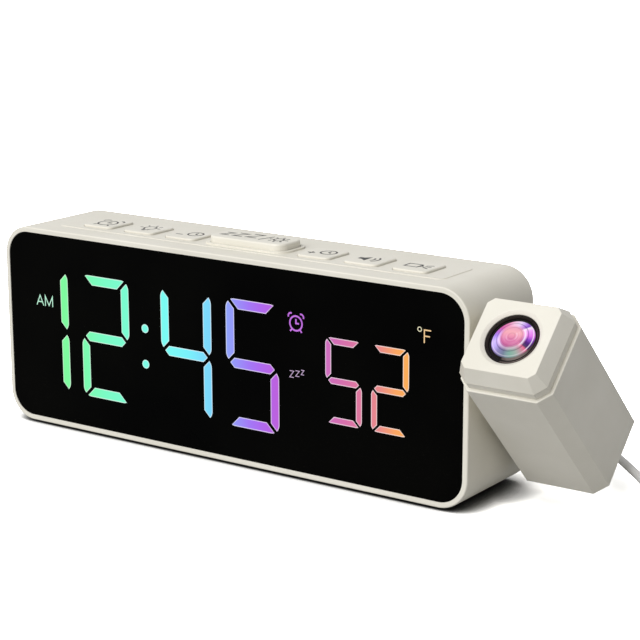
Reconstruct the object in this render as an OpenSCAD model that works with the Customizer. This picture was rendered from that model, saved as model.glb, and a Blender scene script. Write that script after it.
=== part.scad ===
// Projection alarm clock: a long display case with a tilting projector on its right end.
// Millimetres, +Z up, the front looks along -Y, and the origin is under the middle of the whole clock.

/* [Case] */
// Depth of the case, front to back
case_d = 39.6; // [38:0.1:60]
// Radius of the four long corners of the case
case_r = 10.4; // [9:0.1:13]
// Thickness of the case walls
wall = 2; // [1.6:0.1:2.4]
// Width of the rim round the display
rim_w = 1.8; // [1.8:0.1:2.6]
// Rounding of the front and rear outer edges
edge_r = 0.5; // [0.4:0.1:1.2]
// Height of the case above the surface, on its feet
foot_h = 0.8; // [0.5:0.1:3]
// Diameter of a rubber foot
foot_d = 9; // [6:0.5:10]
// Distance of each foot's middle from the end of the case
foot_inset = 22; // [14:1:40]

/* [Display] */
// Hours that the display shows
hours = 12; // [1:1:12]
// Minutes that the display shows
minutes = 45; // [0:1:59]
// Temperature that the display shows
degrees = 52; // [0:1:99]
// Thickness of the display lens
lens_t = 1.8; // [1.2:0.1:2.4]
// Width of a large digit
digit_w = 21.4; // [18:0.1:23]
// Height of a large digit
digit_h = 43.2; // [36:0.2:46]
// Width of a segment's stroke
stroke = 3.4; // [3:0.1:4.4]
// Gap between neighbouring segments
segment_gap = 1.2; // [0.5:0.05:1.4]
// Distance between the middles of two large digits
digit_pitch = 27.5; // [26.5:0.1:32]
// Size of the temperature digits against the large ones
small_share = 0.65; // [0.5:0.01:0.7]
// Distance between the middles of the two temperature digits
small_pitch = 17.4; // [17:0.1:22]
// Distance from the case's left end to the first digit
end_margin = 7.3; // [6:0.1:14]
// Gap between the hours and the minutes, with the colon in it
colon_gap = 14; // [9:0.1:20]
// Gap between the minutes and the temperature, with the alarm and snooze signs in it
sign_gap = 18.2; // [16:0.1:24]
// Distance from the temperature, past its unit, to the case's right end
unit_margin = 21.39; // [18:0.01:30]
// Distance from the digits to the case's top and bottom
top_margin = 13.4; // [12.8:0.1:20]
// Height of the digits' middle against the case's middle
digits_z = -0.5; // [-0.7:0.1:0.4]
// Diameter of the colon's dots
dot_d = 3; // [2.4:0.1:4.4]
// Height of each dot above or below the middle
dot_rise = 6.2; // [4:0.1:9]
// Depth of the light box behind the lens
light_box_t = 7; // [5:0.5:8]

/* [Keys] */
// Middle of the key row, from the case's middle
keys_x = 1.6; // [-3:0.1:3]
// Middle of the key row, from the front
keys_y = 18.2; // [17.4:0.1:19]
// Width of a key
key_w = 12.9; // [11:0.1:13.6]
// Depth of a key, front to back
key_d = 13.3; // [11:0.1:14]
// Corner radius of a key
key_r = 2; // [1:0.1:3]
// Height of a key above the strip
key_rise = 0.7; // [0.7:0.1:1.4]
// Distance from the case's ends to the raised strip under the keys
strip_inset = 16.4; // [15:0.1:20]
// Bare strip outside the outermost keys
key_end = 8.1; // [6.6:0.1:10]
// Gap between the snooze bar's surround and the keys next to it
bar_gap = 4.1; // [3.6:0.1:6]
// Travel of a key
key_travel = 0.6; // [0.3:0.05:0.65]
// Width of the snooze bar
bar_w = 30.8; // [24:0.1:31.5]
// Depth of the snooze bar, front to back
bar_d = 12.9; // [11:0.1:13.6]
// Corner radius of the snooze bar
bar_r = 3.5; // [2:0.1:5]
// Height of the snooze bar above the strip
bar_rise = 2.85; // [2.2:0.05:4]
// Travel of the snooze bar
bar_travel = 1; // [0.5:0.05:1]
// Width of the stepped surround beside the snooze bar
surround_w = 1.5; // [1:0.1:2]
// Height of the stepped surround above the strip
surround_h = 0.6; // [0.3:0.05:1]
// Clearance round each key
key_gap = 0.2; // [0.15:0.01:0.3]

/* [Projector] */
// Width of the square projector housing
beam_w = 31; // [29:0.5:33]
// Width of the housing's corner chamfers, along each side
beam_cut = 3.9; // [3:0.1:5]
// Length of the housing from its closed end to its rim
beam_l = 53.8; // [52:0.2:58]
// Angle at which the projector leans forward from upright
tilt = 45; // [0:1:90]
// Largest lean of the projector, forward and backward
turn_limit = 90; // [45:1:90]
// Gap between the case and the projector housing
side_gap = 2.9; // [2.6:0.1:4]
// Distance of the pivot from the front
pivot_y = 17.4; // [16:0.1:19.4]
// Diameter of the hollow pivot shaft
shaft_d = 9; // [8:0.5:10]
// Width of the lens face
face_w = 24.7; // [23:0.1:26]
// Width of the lens face's corner chamfers
face_cut = 1.9; // [1:0.1:2.6]
// Height of the flared cap
cap_h = 5.3; // [4.6:0.1:7]
// Outer diameter of the black focus ring
ring_d = 16.8; // [16.4:0.1:17.4]
// Diameter of the projection lens
glass_d = 13.8; // [12.8:0.1:14]

/* [Rear] */
// Thickness of the rear cover
cover_t = 2; // [1.6:0.1:2.4]
// Distance of the power inlet from the case's right end
inlet_in = 39; // [35:1:43]
// Distance between the power inlet and the charging port
port_gap = 22; // [18:1:28]
// Height of both sockets against the case's middle
socket_z = -14; // [-16:0.5:-8]
// Place of the speaker, from the case's middle
speaker_x = -18; // [-20:1:-14]
// Diameter of the speaker
speaker_d = 28; // [22:1:30]
// Distance of the battery door's middle from the case's left end
battery_in = 31; // [27:1:36]
// Diameter of the coin cell
cell_d = 20; // [16:0.5:24]
// Thickness of the coin cell
cell_t = 3.2; // [1.6:0.1:3.6]

/* [Cord] */
// Diameter of the power cord
cord_d = 2.8; // [2:0.1:3.2]

/* [Hidden] */
$fn = 48;

CREAM = "#E6E0D3";
BLACK = "#0B0B0D";
BOARD = "#1E6B45";
STEEL = "#C4C6C8";

// How far a cut runs past the face that it opens
OVER = 1;
// Running clearance of a shaft in its bore, on the radius
FIT = 0.05;
// Clearance of a fixed piece in its recess
SEAT = 0.15;
// Part of an octagon's inset by which its corner chamfers get narrower
CORNER = 2 - sqrt(2);

// Digits in their blocks, and the case round them
half_h = digit_h / 2;
small_w = small_share * digit_w;
block_w = digit_pitch + digit_w;
small_block_w = small_pitch + small_w;
case_w = end_margin + 2 * block_w + colon_gap + sign_gap + small_block_w + unit_margin;
case_h = digit_h + 2 * top_margin;
case_mid = foot_h + case_h / 2;
case_top = foot_h + case_h;
hours_x = end_margin + block_w / 2 - case_w / 2;
minutes_x = hours_x + block_w + colon_gap;
degrees_x = case_w / 2 - unit_margin - small_block_w / 2;

// Display stack, as depths behind the front plane
lens_front = 0.2;
lens_back = lens_front + lens_t;
tape_t = 0.2;
ledge_front = lens_back + tape_t;
ledge_t = 1.5;
ledge_back = ledge_front + ledge_t;
ledge_w = 2.5;
lens_fit = 0.1;
box_back = lens_back + light_box_t;
board_t = 1.6;
led_back = box_back + board_t;
led_w = 2;
led_t = 1;
dot_led_w = 1.4;
guide_back = lens_back + 1.2;
colon_x = (hours_x + minutes_x) / 2;
alarm_x = minutes_x + block_w / 2 + 6.5;
unit_x = degrees_x + small_block_w / 2 + 5.5;
unit_w = 6.4;
// Cells behind the lit signs, each as [x, height against the middle, width, height]
SIGN_CELLS = [
    [hours_x - digit_pitch / 2, 9.8, 10, 5.4],
    [alarm_x, half_h - 5.5, 7, 7],
    [alarm_x, -0.1, 7.4, 5],
    [unit_x, half_h - 2.7, unit_w, 6]
];
box_wall = 1.6;
box_left = hours_x - digit_pitch / 2 - digit_w / 2 - box_wall;
box_right = unit_x + unit_w / 2 + box_wall;
board_h = case_h - 2 * wall - 6;
board_w = case_w - 2 * wall - 6;

// Screw bosses for the rear cover, and posts for the LED board
boss_r = 3.2;
boss_inset = 13.5;
boss_x = case_w / 2 - boss_inset;
boss_z = case_h / 2 - 7.5;
post_r = 2.6;
post_inset = 40;
post_x = case_w / 2 - post_inset;
rib_t = 1.2;
cover_front = case_d - cover_t;

// Screws: the holes they bite in, their heads, and their lengths under the head
screw_r = 1.2;
head_r = 2.3;
head_t = 1.2;
small_screw_r = 0.9;
small_head_r = 1.6;
small_head_t = 0.7;
cover_screw_l = 8;
board_screw_l = 5.6;
small_screw_l = 3.8;
// Depth of a screw hole below the tip of its screw
HOLE_END = 0.5;
board_hole = board_screw_l - board_t + HOLE_END;

// Keys
strip_w = case_w - 2 * strip_inset;
strip_d = key_d + 6.5;
strip_h = 0.2;
strip_top = case_top + strip_h;
flange_t = 1.1;
flange_w = 0.9;
flange_top = case_top - wall - 0.05;
switch_h = 3.5;
switch_w = 6;
stem_r = 1.25;
stem_dip = 0.5;
key_board_top = flange_top - flange_t - bar_travel - 0.3 - switch_h;
hanger_r = 2.2;
key_start = bar_w / 2 + surround_w + bar_gap + key_w / 2;
key_pitch = (strip_w / 2 - key_end - key_w / 2 - key_start) / 2;
key_xs = [for (side = [-1, 1], k = [0:2])
    keys_x + side * (key_start + key_pitch * (side < 0 ? 2 - k : k))];
hanger_near = bar_w / 2 + (surround_w + bar_gap) / 2;
hanger_far = strip_w / 2 - key_end + hanger_r + 0.5;
hanger_xs = [for (side = [-1, 1], away = [hanger_near, hanger_far]) keys_x + side * away];
key_board_w = 2 * (hanger_far + hanger_r + 0.4);
key_board_d = 12.4;

// Projector, in its own frame: X along the pivot, Z along the lens axis
beam_x = case_w / 2 + side_gap + beam_w / 2;
beam_wall = 2;
rim_z = beam_l / 2;
bevel = 0.2;
groove_h = 2.95;
cap_z = rim_z + bevel + groove_h;
face_z = cap_z + cap_h;
cap_w = beam_w - 1.8;
cap_cut = beam_cut - 0.75;
neck_w = cap_w - 0.4;
inner_w = beam_w - 2 * beam_wall;
inner_cut = beam_cut - beam_wall * CORNER;
collar_h = 1.2;
case_side = -beam_w / 2 - side_gap;
hub_end = case_side + collar_h + 0.3;
stop_r = 1;
stop_path = shaft_d / 2 + 2.3;
hub_r = stop_path + 1.8;
collar_r = hub_r + 1;
hub_screws_at = shaft_d / 2 + 1.7;
shaft_plate_r = hub_screws_at + 1.6;
shaft_plate_t = 1.4;
shaft_bore_r = 2.6;
groove_w = 1;
groove_d = 0.6;
washer_t = 0.7;
// Side of the shaft's groove that faces the washer, inside the case
groove_at = case_side - wall - washer_t - 0.2;
wire_r = 0.65;

// Optics, from the lamp board to the focus ring
ring_z = face_z - 0.9;
ring_bore = glass_d / 2 + 0.6;
neck_z = rim_z - 3.3;
flange_h = 1.2;
flange_z = neck_z - flange_h - 0.2;
ear_r = 2.1;
ear_t = 1.6;
ear_screw_l = 6;
ear_post_l = 5;
ears_at = inner_w / 2 - ear_r;
barrel_r = ears_at - 2.2;
barrel_top = flange_z - 0.2;
lamp_top = -14.4;
lamp_z = lamp_top - board_t;
condenser_z = -10;
condenser_r = barrel_r - 1.6;
plate_z = 0;
plate_r = barrel_r - 1.3;
plate_t = 1.1;
lcd_w = 9;
glass_z = face_z - 3.8;
glass_edge = 1.8;
glass_bulge = 1.6;
cell_back = glass_z - 3.6;
cell_front = glass_z + glass_edge + 0.3;

// Whole clock without the cord, for its origin
front_y = min(0, pivot_y - face_z * sin(tilt) - face_w / 2 * cos(tilt));
back_y = max(case_d, pivot_y + beam_l / 2 * sin(tilt) + beam_w / 2 * cos(tilt));
origin_x = (side_gap + beam_w) / 2;
origin_y = (front_y + back_y) / 2;

// Rear sockets, and the main board between them
inlet_x = case_w / 2 - inlet_in;
port_x = inlet_x - port_gap;
inlet_r = 2.8;
inlet_rim = 1.1;
inlet_w = 10;
inlet_len = 14;
inlet_bore = 10.5;
pin_r = 1;
pin_back = 2;
socket_front = case_d - inlet_len;
port_w = 13.2;
port_h = 5.8;
sheet_t = 0.4;
tongue_t = 1.9;
main_w = 60;
main_h = 36;
main_x = (inlet_x + port_x) / 2 - 5;
main_z = socket_z + main_h / 6;
main_posts = [for (sx = [-1, 1], sz = [-1, 1])
    [main_x + sx * (main_w / 2 - 3.4), main_z + sz * (main_h / 2 - 3.4)]];

// Components on the main board
chip_w = 12;
chip_t = 1.6;
driver_w = 4;
driver_l = 10;
driver_t = 1.4;
can_d = 6.3;
can_h = 7.2;
can_pitch = 8;
crystal_w = 10;
crystal_d = 4;
crystal_t = 1.8;
header_w = 2.6;
header_l = 16;
header_h = 5;

// Speaker, coin cell and battery door
speaker_z = -2;
speaker_t = 9;
magnet_r = 8.6;
magnet_t = 4;
hole_d = 1.6;
hole_pitch = 3.1;
battery_x = battery_in - case_w / 2;
pocket_w = cell_d + 4;
pocket_h = cell_d + 1.2;
door_w = pocket_w + 5;
door_h = pocket_h + 5.8;
door_t = 1.6;
door_screw_z = 1.9 - door_h / 2;
pocket_back = case_d - door_t;
pocket_front = pocket_back - cell_t - 1.2;
contact_t = 0.5;
contact_w = 5;

// Cord: the hand-laid route from the plug to the coil, and from the coil to the far plug
plug_out = 17;
plug_r = 4.6;
plug_grip_l = 10;
sleeve_r = inlet_r - FIT;
sleeve_l = 9;
cord_r = cord_d / 2;
LEAD = [
    [56, 56.6, 21.8], [56.5, 62.7, 21.3], [60, 69.4, 19.5], [67, 74.7, 17], [77, 77, 14],
    [88, 75.5, 11.4], [98, 71.5, 9.4], [106, 66.8, 8.3], [113, 61.3, 8], [120, 54.8, 8],
    [126.5, 48.3, 8], [133, 41.8, 8], [140, 34.6, 7.2], [147.5, 26.6, 5.4], [154.5, 18.6, 3.4],
    [161, 11.6, 2], [167.1, 5.8, 1.5]
];
coil_mid = [186, 16.7];
coil_r = 15.5;
coil_band = 9.6;
coil_h = 11.2;
TAIL = [
    [204.9, 5.8, 1.5], [208.2, 11.6, 1.5], [210.8, 19, 1.5], [212.4, 27.5, 1.9],
    [213, 36, 2.6], [213, 43, 3.4]
];
tie_turn = 75;
tie_w = 6;
tie_t = 0.7;
TAIL_END = TAIL[len(TAIL) - 1];
plug_z = 4.2;
relief_l = 3;
shell_w = 12;
shell_h = 4.5;
shell_l = 12;
grip_w = shell_w + 3.4;
grip_h = 2 * plug_z - 0.2;
grip_l = 22;

// ---- Shared shapes ----

// Moves the clock from its case's middle to the origin of the whole
module placed() {
    translate([-origin_x, -origin_y, 0]) children();
}

// Stands a face up: X right, Y up from the case's middle, Z towards the viewer from the front plane
module upright() {
    placed() translate([0, 0, case_mid]) rotate([90, 0, 0]) children();
}

// Extrudes an outline of the front view between two depths behind the front plane
module layer(front, back) {
    translate([0, 0, -back]) linear_extrude(back - front) children();
}

module in_projector() {
    placed() translate([beam_x, pivot_y, case_mid]) rotate([tilt, 0, 0]) children();
}

module rounded(w, h, r) {
    square([w - 2 * r, h], center = true);
    square([w, h - 2 * r], center = true);
    for (x = [-1, 1], y = [-1, 1]) translate([x * (w / 2 - r), y * (h / 2 - r)]) circle(r);
}

module chamfered(w, cut) {
    a = w / 2;
    b = a - cut;
    polygon([[b, -a], [a, -b], [a, b], [b, a], [-b, a], [-a, b], [-a, -b], [-b, -a]]);
}

// Sweeps a profile round a rounded rectangle: the profile's X is measured outwards from the edge
module around(w, h, r) {
    for (i = [0:3]) {
        run = i % 2 == 0 ? h : w;
        out = i % 2 == 0 ? w : h;
        rotate(90 * i) {
            translate([out / 2, 0, 0]) rotate([90, 0, 0])
                linear_extrude(run - 2 * r, center = true) children();
            translate([out / 2 - r, run / 2 - r, 0]) rotate_extrude(angle = 90) translate([r, 0]) children();
        }
    }
}

// A cap with a softly rounded top edge, standing on z = 0
module soft_cap(w, d, r, h, edge) {
    hull() {
        linear_extrude(h - edge) rounded(w, d, r, $fn = 32);
        for (a = [22.5, 45, 67.5, 90]) {
            inset = edge * (1 - cos(a));
            linear_extrude(h - edge + edge * sin(a))
                rounded(w - 2 * inset, d - 2 * inset, r - inset, $fn = 32);
        }
    }
}

// Screw with its head's top at z = 0 and its shank pointing down
module screw_of(hole, length, head, thick) {
    difference() {
        union() {
            translate([0, 0, -thick]) cylinder(r = head, h = thick, $fn = 24);
            translate([0, 0, -thick - length]) cylinder(r = hole - FIT, h = length + 0.1, $fn = 24);
        }
        for (turn = [0, 90]) rotate(turn) cube([head * 1.2, head / 4, thick], center = true);
    }
}

module screw(length) {
    screw_of(screw_r, length, head_r, head_t);
}

module small_screw(length) {
    screw_of(small_screw_r, length, small_head_r, small_head_t);
}

// ---- Segment display ----

inner_x = digit_w / 2 - stroke;
slant = segment_gap * sqrt(2);

module upper_loop() {
    translate([0, half_h / 2]) rounded(digit_w, half_h, stroke, $fn = 32);
}

module segment_a() {
    intersection() {
        upper_loop();
        polygon([
            [slant - inner_x, half_h - stroke], [inner_x - slant, half_h - stroke],
            [inner_x - slant + stroke, half_h], [slant - inner_x - stroke, half_h]
        ]);
    }
}

module segment_b() {
    intersection() {
        upper_loop();
        polygon([
            [inner_x, stroke / 2 + slant], [inner_x, half_h - stroke], [digit_w / 2, half_h],
            [digit_w / 2, 0], [inner_x + stroke / 2 + slant, 0]
        ]);
    }
}

module segment_g() {
    tip = inner_x + stroke / 2;
    polygon([
        [-tip, 0], [-inner_x, stroke / 2], [inner_x, stroke / 2],
        [tip, 0], [inner_x, -stroke / 2], [-inner_x, -stroke / 2]
    ]);
}

module segment(name) {
    if (name == "a") segment_a();
    if (name == "b") segment_b();
    if (name == "c") mirror([0, 1]) segment_b();
    if (name == "d") mirror([0, 1]) segment_a();
    if (name == "e") rotate(180) segment_b();
    if (name == "f") mirror([1, 0]) segment_b();
    if (name == "g") segment_g();
}

SEGMENTS = ["a", "b", "c", "d", "e", "f", "g"];
// Segments lit for each figure, with a blank one at the end
LIT = ["abcdef", "bc", "abdeg", "abcdg", "bcfg", "acdfg", "acdefg", "abc", "abcdefg", "abcdfg", ""];
BLANK = 10;
function is_lit(figure, name) = len(search(name, LIT[figure])) > 0;

// Each digit: [figure, x, share of the large size]
DIGITS = [
    [hours < 10 ? BLANK : 1, hours_x - digit_pitch / 2, 1], [hours % 10, hours_x + digit_pitch / 2, 1],
    [floor(minutes / 10), minutes_x - digit_pitch / 2, 1], [minutes % 10, minutes_x + digit_pitch / 2, 1],
    [floor(degrees / 10), degrees_x - small_pitch / 2, small_share],
    [degrees % 10, degrees_x + small_pitch / 2, small_share]
];

function segment_mid(name) =
    name == "a" ? [0, half_h - stroke / 2] : name == "d" ? [0, stroke / 2 - half_h] : name == "g" ? [0, 0] :
    [(name == "b" || name == "c" ? 1 : -1) * (digit_w / 2 - stroke / 2),
     (name == "b" || name == "f" ? 1 : -1) * (half_h / 2 + stroke / 8)];

// The segments that are lit, unlit, or both
module segments(want) {
    for (digit = DIGITS, name = SEGMENTS)
        if (want == "both" || is_lit(digit[0], name) == (want == "lit"))
            translate([digit[1], digits_z]) scale(digit[2]) segment(name);
}

module colon() {
    for (side = [-1, 1]) translate([colon_x, digits_z + side * dot_rise]) circle(d = dot_d, $fn = 32);
}

// ---- Case ----

// Quarter-round cut of the outer edge at a face, towards which dir points
module edge_cut(dir) {
    difference() {
        translate([-edge_r, dir > 0 ? -edge_r : -OVER]) square([edge_r + OVER, edge_r + OVER]);
        translate([-edge_r, -dir * edge_r]) circle(edge_r);
    }
}

module case_profile() {
    difference() {
        union() {
            translate([-wall, -case_d]) square([wall, case_d - ledge_front]);
            translate([-rim_w, -ledge_back]) square([rim_w, ledge_back]);
            translate([-rim_w - ledge_w, -ledge_back]) square([rim_w + ledge_w, ledge_t]);
        }
        edge_cut(1);
        translate([0, -case_d]) edge_cut(-1);
    }
}

// Four of whatever is given, at the same distances left, right, above and below the middle
module four(x, z) {
    for (sx = [-1, 1], sz = [-1, 1]) translate([sx * x, sz * z]) children();
}

// Boss with a rib to the wall above or below it, mirrored with its place
module ribbed_boss(x, z, r) {
    for (sx = [-1, 1], sz = [-1, 1]) scale([sx, sz]) {
        translate([x, z]) circle(r);
        translate([x - rib_t / 2, z]) square([rib_t, case_h / 2 - wall / 2 - z]);
    }
}

// Arc in which the projector's stop pin runs, with its floor left in the wall
module stop_slot() {
    depth = collar_h + wall / 2;
    placed() translate([case_w / 2 - wall / 2, pivot_y, case_mid]) rotate([0, 90, 0]) rotate(-turn_limit) {
        rotate_extrude(angle = 2 * turn_limit)
            translate([stop_path - stop_r - SEAT, 0]) square([2 * (stop_r + SEAT), depth + OVER]);
        for (a = [0, 2 * turn_limit])
            rotate(a) translate([stop_path, 0, 0]) cylinder(r = stop_r + SEAT, h = depth + OVER);
    }
}

module key_openings() {
    placed() {
        for (x = key_xs) translate([x, keys_y, case_top - wall - OVER])
            linear_extrude(wall + strip_h + 2 * OVER)
                rounded(key_w + 2 * key_gap, key_d + 2 * key_gap, key_r + key_gap);
        translate([keys_x, keys_y, case_top - wall - OVER])
            linear_extrude(wall + 2 * OVER + strip_h + surround_h)
                rounded(bar_w + 2 * key_gap, bar_d + 2 * key_gap, bar_r + key_gap);
    }
}

module main_housing() {
    color(CREAM) difference() {
        union() {
            upright() around(case_w, case_h, case_r) case_profile();
            upright() layer(ledge_back - ledge_t / 2, cover_front) ribbed_boss(boss_x, boss_z, boss_r);
            upright() layer(ledge_back - ledge_t / 2, box_back) ribbed_boss(post_x, boss_z, post_r);
            placed() {
                translate([keys_x, keys_y, case_top - wall / 2])
                    linear_extrude(wall / 2 + strip_h) rounded(strip_w, strip_d, 2.5);
                translate([keys_x, keys_y, case_top - wall / 2])
                    linear_extrude(wall / 2 + strip_h + surround_h)
                        rounded(bar_w + 2 * surround_w, bar_d + 2 * surround_w, bar_r + surround_w);
                for (x = hanger_xs) translate([x, keys_y, key_board_top])
                    cylinder(r = hanger_r, h = case_top - wall / 2 - key_board_top);
                translate([case_w / 2 - wall / 2, pivot_y, case_mid]) rotate([0, 90, 0])
                    cylinder(r = collar_r, h = collar_h + wall / 2);
            }
        }
        key_openings();
        stop_slot();
        placed() translate([case_w / 2 - wall - OVER, pivot_y, case_mid]) rotate([0, 90, 0])
            cylinder(r = shaft_d / 2 + FIT, h = wall + collar_h + 2 * OVER);
        placed() for (x = hanger_xs) translate([x, keys_y, key_board_top - OVER])
            cylinder(r = screw_r, h = board_hole + OVER, $fn = 24);
        upright() layer(case_d - head_t - cover_screw_l - HOLE_END, cover_front + OVER)
            four(boss_x, boss_z) circle(screw_r, $fn = 24);
        upright() layer(box_back - board_hole, box_back + OVER)
            four(post_x, boss_z) circle(screw_r, $fn = 24);
        placed() foot_places() translate([0, 0, foot_h - OVER])
            cylinder(d = foot_d + 2 * SEAT, h = wall / 2 + OVER);
    }
}

module foot_places() {
    for (sx = [-1, 1], y = [foot_d / 2 + 3.5, case_d - foot_d / 2 - 3.5])
        translate([sx * (case_w / 2 - foot_inset), y, 0]) children();
}

module rubber_feet() {
    r = foot_d / 2;
    foot_top = foot_h + wall / 2;
    color("#2A2A2C") placed() foot_places()
        rotate_extrude() polygon([[0, 0], [r - 0.4, 0], [r, 0.4], [r, foot_top], [0, foot_top]]);
}

module display_lens() {
    color(BLACK) upright() layer(lens_front, lens_back) difference() {
        inset = 2 * (rim_w + lens_fit);
        rounded(case_w - inset, case_h - inset, case_r - rim_w - lens_fit);
        segments("both");
        colon();
    }
}

module lens_tape() {
    color("#202024") upright() layer(lens_back, ledge_front) difference() {
        outer = 2 * (rim_w + 0.4);
        inner = 2 * (rim_w + ledge_w - 0.3);
        rounded(case_w - outer, case_h - outer, case_r - rim_w - 0.4);
        rounded(case_w - inner, case_h - inner, case_r - rim_w - ledge_w + 0.3);
    }
}

module lit_segments() {
    color("#8FF0D8") upright() layer(lens_front, guide_back) {
        segments("lit");
        colon();
    }
}

module dark_segments() {
    color("#141417") upright() layer(lens_front, guide_back) segments("dark");
}

module light_box() {
    color("#F4F4F0") upright() layer(lens_back, box_back) difference() {
        translate([box_left, digits_z - half_h - box_wall])
            square([box_right - box_left, digit_h + 2 * box_wall]);
        segments("both");
        colon();
        for (cell = SIGN_CELLS) translate([cell[0], cell[1]]) square([cell[2], cell[3]], center = true);
    }
}

// Board with its corners cut away round the rear cover's bosses
module led_board() {
    boss_room = boss_r + 0.4;
    color(BOARD) upright() layer(box_back, led_back) difference() {
        square([board_w, board_h], center = true);
        four(board_w / 2, board_h / 2)
            square(2 * [board_w / 2 - boss_x + boss_room, board_h / 2 - boss_z + boss_room], center = true);
        four(post_x, boss_z) circle(screw_r + SEAT, $fn = 24);
    }
}

module segment_leds() {
    color("#F2EDD8") upright() layer(box_back - led_t, box_back) {
        for (digit = DIGITS, name = SEGMENTS) translate([digit[1], digits_z]) scale(digit[2])
            translate(segment_mid(name)) square(led_w, center = true);
        for (side = [-1, 1])
            translate([colon_x, digits_z + side * dot_rise]) square(dot_led_w, center = true);
        for (cell = SIGN_CELLS) translate([cell[0], cell[1]]) square([led_w, dot_led_w], center = true);
    }
}

module display_screws() {
    color(STEEL) upright() four(post_x, boss_z)
        translate([0, 0, -led_back - head_t]) rotate([180, 0, 0]) screw(board_screw_l);
}

// ---- Boards and keys ----

module key_board() {
    color(BOARD) placed() translate([0, 0, key_board_top - board_t]) linear_extrude(board_t) difference() {
        translate([keys_x, keys_y]) square([key_board_w, key_board_d], center = true);
        for (x = hanger_xs) translate([x, keys_y]) circle(screw_r + SEAT, $fn = 24);
    }
}

module key_board_screws() {
    color(STEEL) placed() for (x = hanger_xs)
        translate([x, keys_y, key_board_top - board_t - head_t]) rotate([180, 0, 0]) screw(board_screw_l);
}

// Switch with the well in which its key's stem travels
module tact_switch(x, travel) {
    depth = stem_dip + travel + FIT;
    placed() translate([x, keys_y, key_board_top]) difference() {
        linear_extrude(switch_h) square(switch_w, center = true);
        translate([0, 0, switch_h - depth]) cylinder(r = stem_r + SEAT, h = depth + OVER);
    }
}

module tact_switches() {
    color("#26272B") {
        for (x = key_xs) tact_switch(x, key_travel);
        tact_switch(keys_x, bar_travel);
    }
}

// A key: its soft cap, the lips that hold it under the wall, and the stem that works its switch
module plunger(x, w, d, r, rise, edge) {
    stem_tip = key_board_top + switch_h - stem_dip;
    placed() translate([x, keys_y, 0]) {
        translate([0, 0, flange_top - 0.1]) soft_cap(w, d, r, strip_top + rise - flange_top + 0.1, edge);
        translate([0, 0, flange_top - flange_t]) linear_extrude(flange_t) rounded(w, d + 2 * flange_w, r);
        translate([0, 0, stem_tip]) cylinder(r = stem_r, h = flange_top - stem_tip - flange_t / 2);
    }
}

module key(i) {
    color(CREAM) plunger(key_xs[i], key_w, key_d, key_r, key_rise, 0.5);
}

module snooze_bar() {
    color(CREAM) plunger(keys_x, bar_w, bar_d, bar_r, bar_rise, 0.7);
}

module main_board() {
    color(BOARD) upright() layer(socket_front - board_t, socket_front) difference() {
        translate([main_x, main_z]) square([main_w, main_h], center = true);
        for (p = main_posts) translate(p) circle(screw_r + SEAT, $fn = 24);
    }
}

module board_screws() {
    color(STEEL) for (p = main_posts)
        upright() translate([p[0], p[1], board_t + head_t - socket_front]) screw(board_screw_l);
}

// Controller, two driver chips, three capacitors, a crystal and a pin header, on the board's front face
module board_parts() {
    left = -main_w / 5;
    right = main_w / 6;
    low = -main_h / 4;
    color("#1A1B1E") upright() translate([main_x, main_z, board_t - socket_front]) {
        translate([left, main_h / 18]) linear_extrude(chip_t) square(chip_w, center = true);
        for (side = [-1, 1]) translate([right + side * (driver_w / 2 + 3), main_h / 9])
            linear_extrude(driver_t) square([driver_w, driver_l], center = true);
        for (k = [-1:1]) translate([right + k * can_pitch, low, 0]) cylinder(d = can_d, h = can_h);
        translate([left, low]) linear_extrude(crystal_t) rounded(crystal_w, crystal_d, crystal_d / 2 - 0.1);
        translate([6 - main_w / 2, 0]) linear_extrude(header_h) square([header_w, header_l], center = true);
    }
}

module power_inlet() {
    color("#17171A") upright() translate([inlet_x, socket_z, 0]) {
        difference() {
            union() {
                layer(socket_front, cover_front) square([inlet_w, inlet_w + 1], center = true);
                layer(cover_front - 0.5, case_d) circle(inlet_r + inlet_rim);
            }
            layer(case_d - inlet_bore, case_d + OVER) circle(inlet_r);
        }
        layer(case_d - inlet_bore - 0.5, case_d - pin_back) circle(pin_r, $fn = 24);
    }
}

module charging_port() {
    color(STEEL) upright() translate([port_x, socket_z, 0]) {
        difference() {
            layer(socket_front, case_d) square([port_w, port_h], center = true);
            layer(socket_front + 1, case_d + OVER)
                square([port_w - 2 * sheet_t, port_h - 2 * sheet_t], center = true);
        }
        layer(socket_front + 0.5, case_d - 1.2)
            translate([1 - port_w / 2, 0.2]) square([port_w - 2, tongue_t]);
    }
}

// ---- Rear ----

module speaker_at() {
    translate([speaker_x, speaker_z]) children();
}

// Sound holes in rings, each ring with six more than the last
module grille() {
    speaker_at() for (ring = [0:3], i = [0:max(0, 6 * ring - 1)])
        rotate(360 * i / max(1, 6 * ring)) translate([ring * hole_pitch, 0]) circle(d = hole_d, $fn = 20);
}

module battery_at() {
    translate([battery_x, 0]) children();
}

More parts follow.
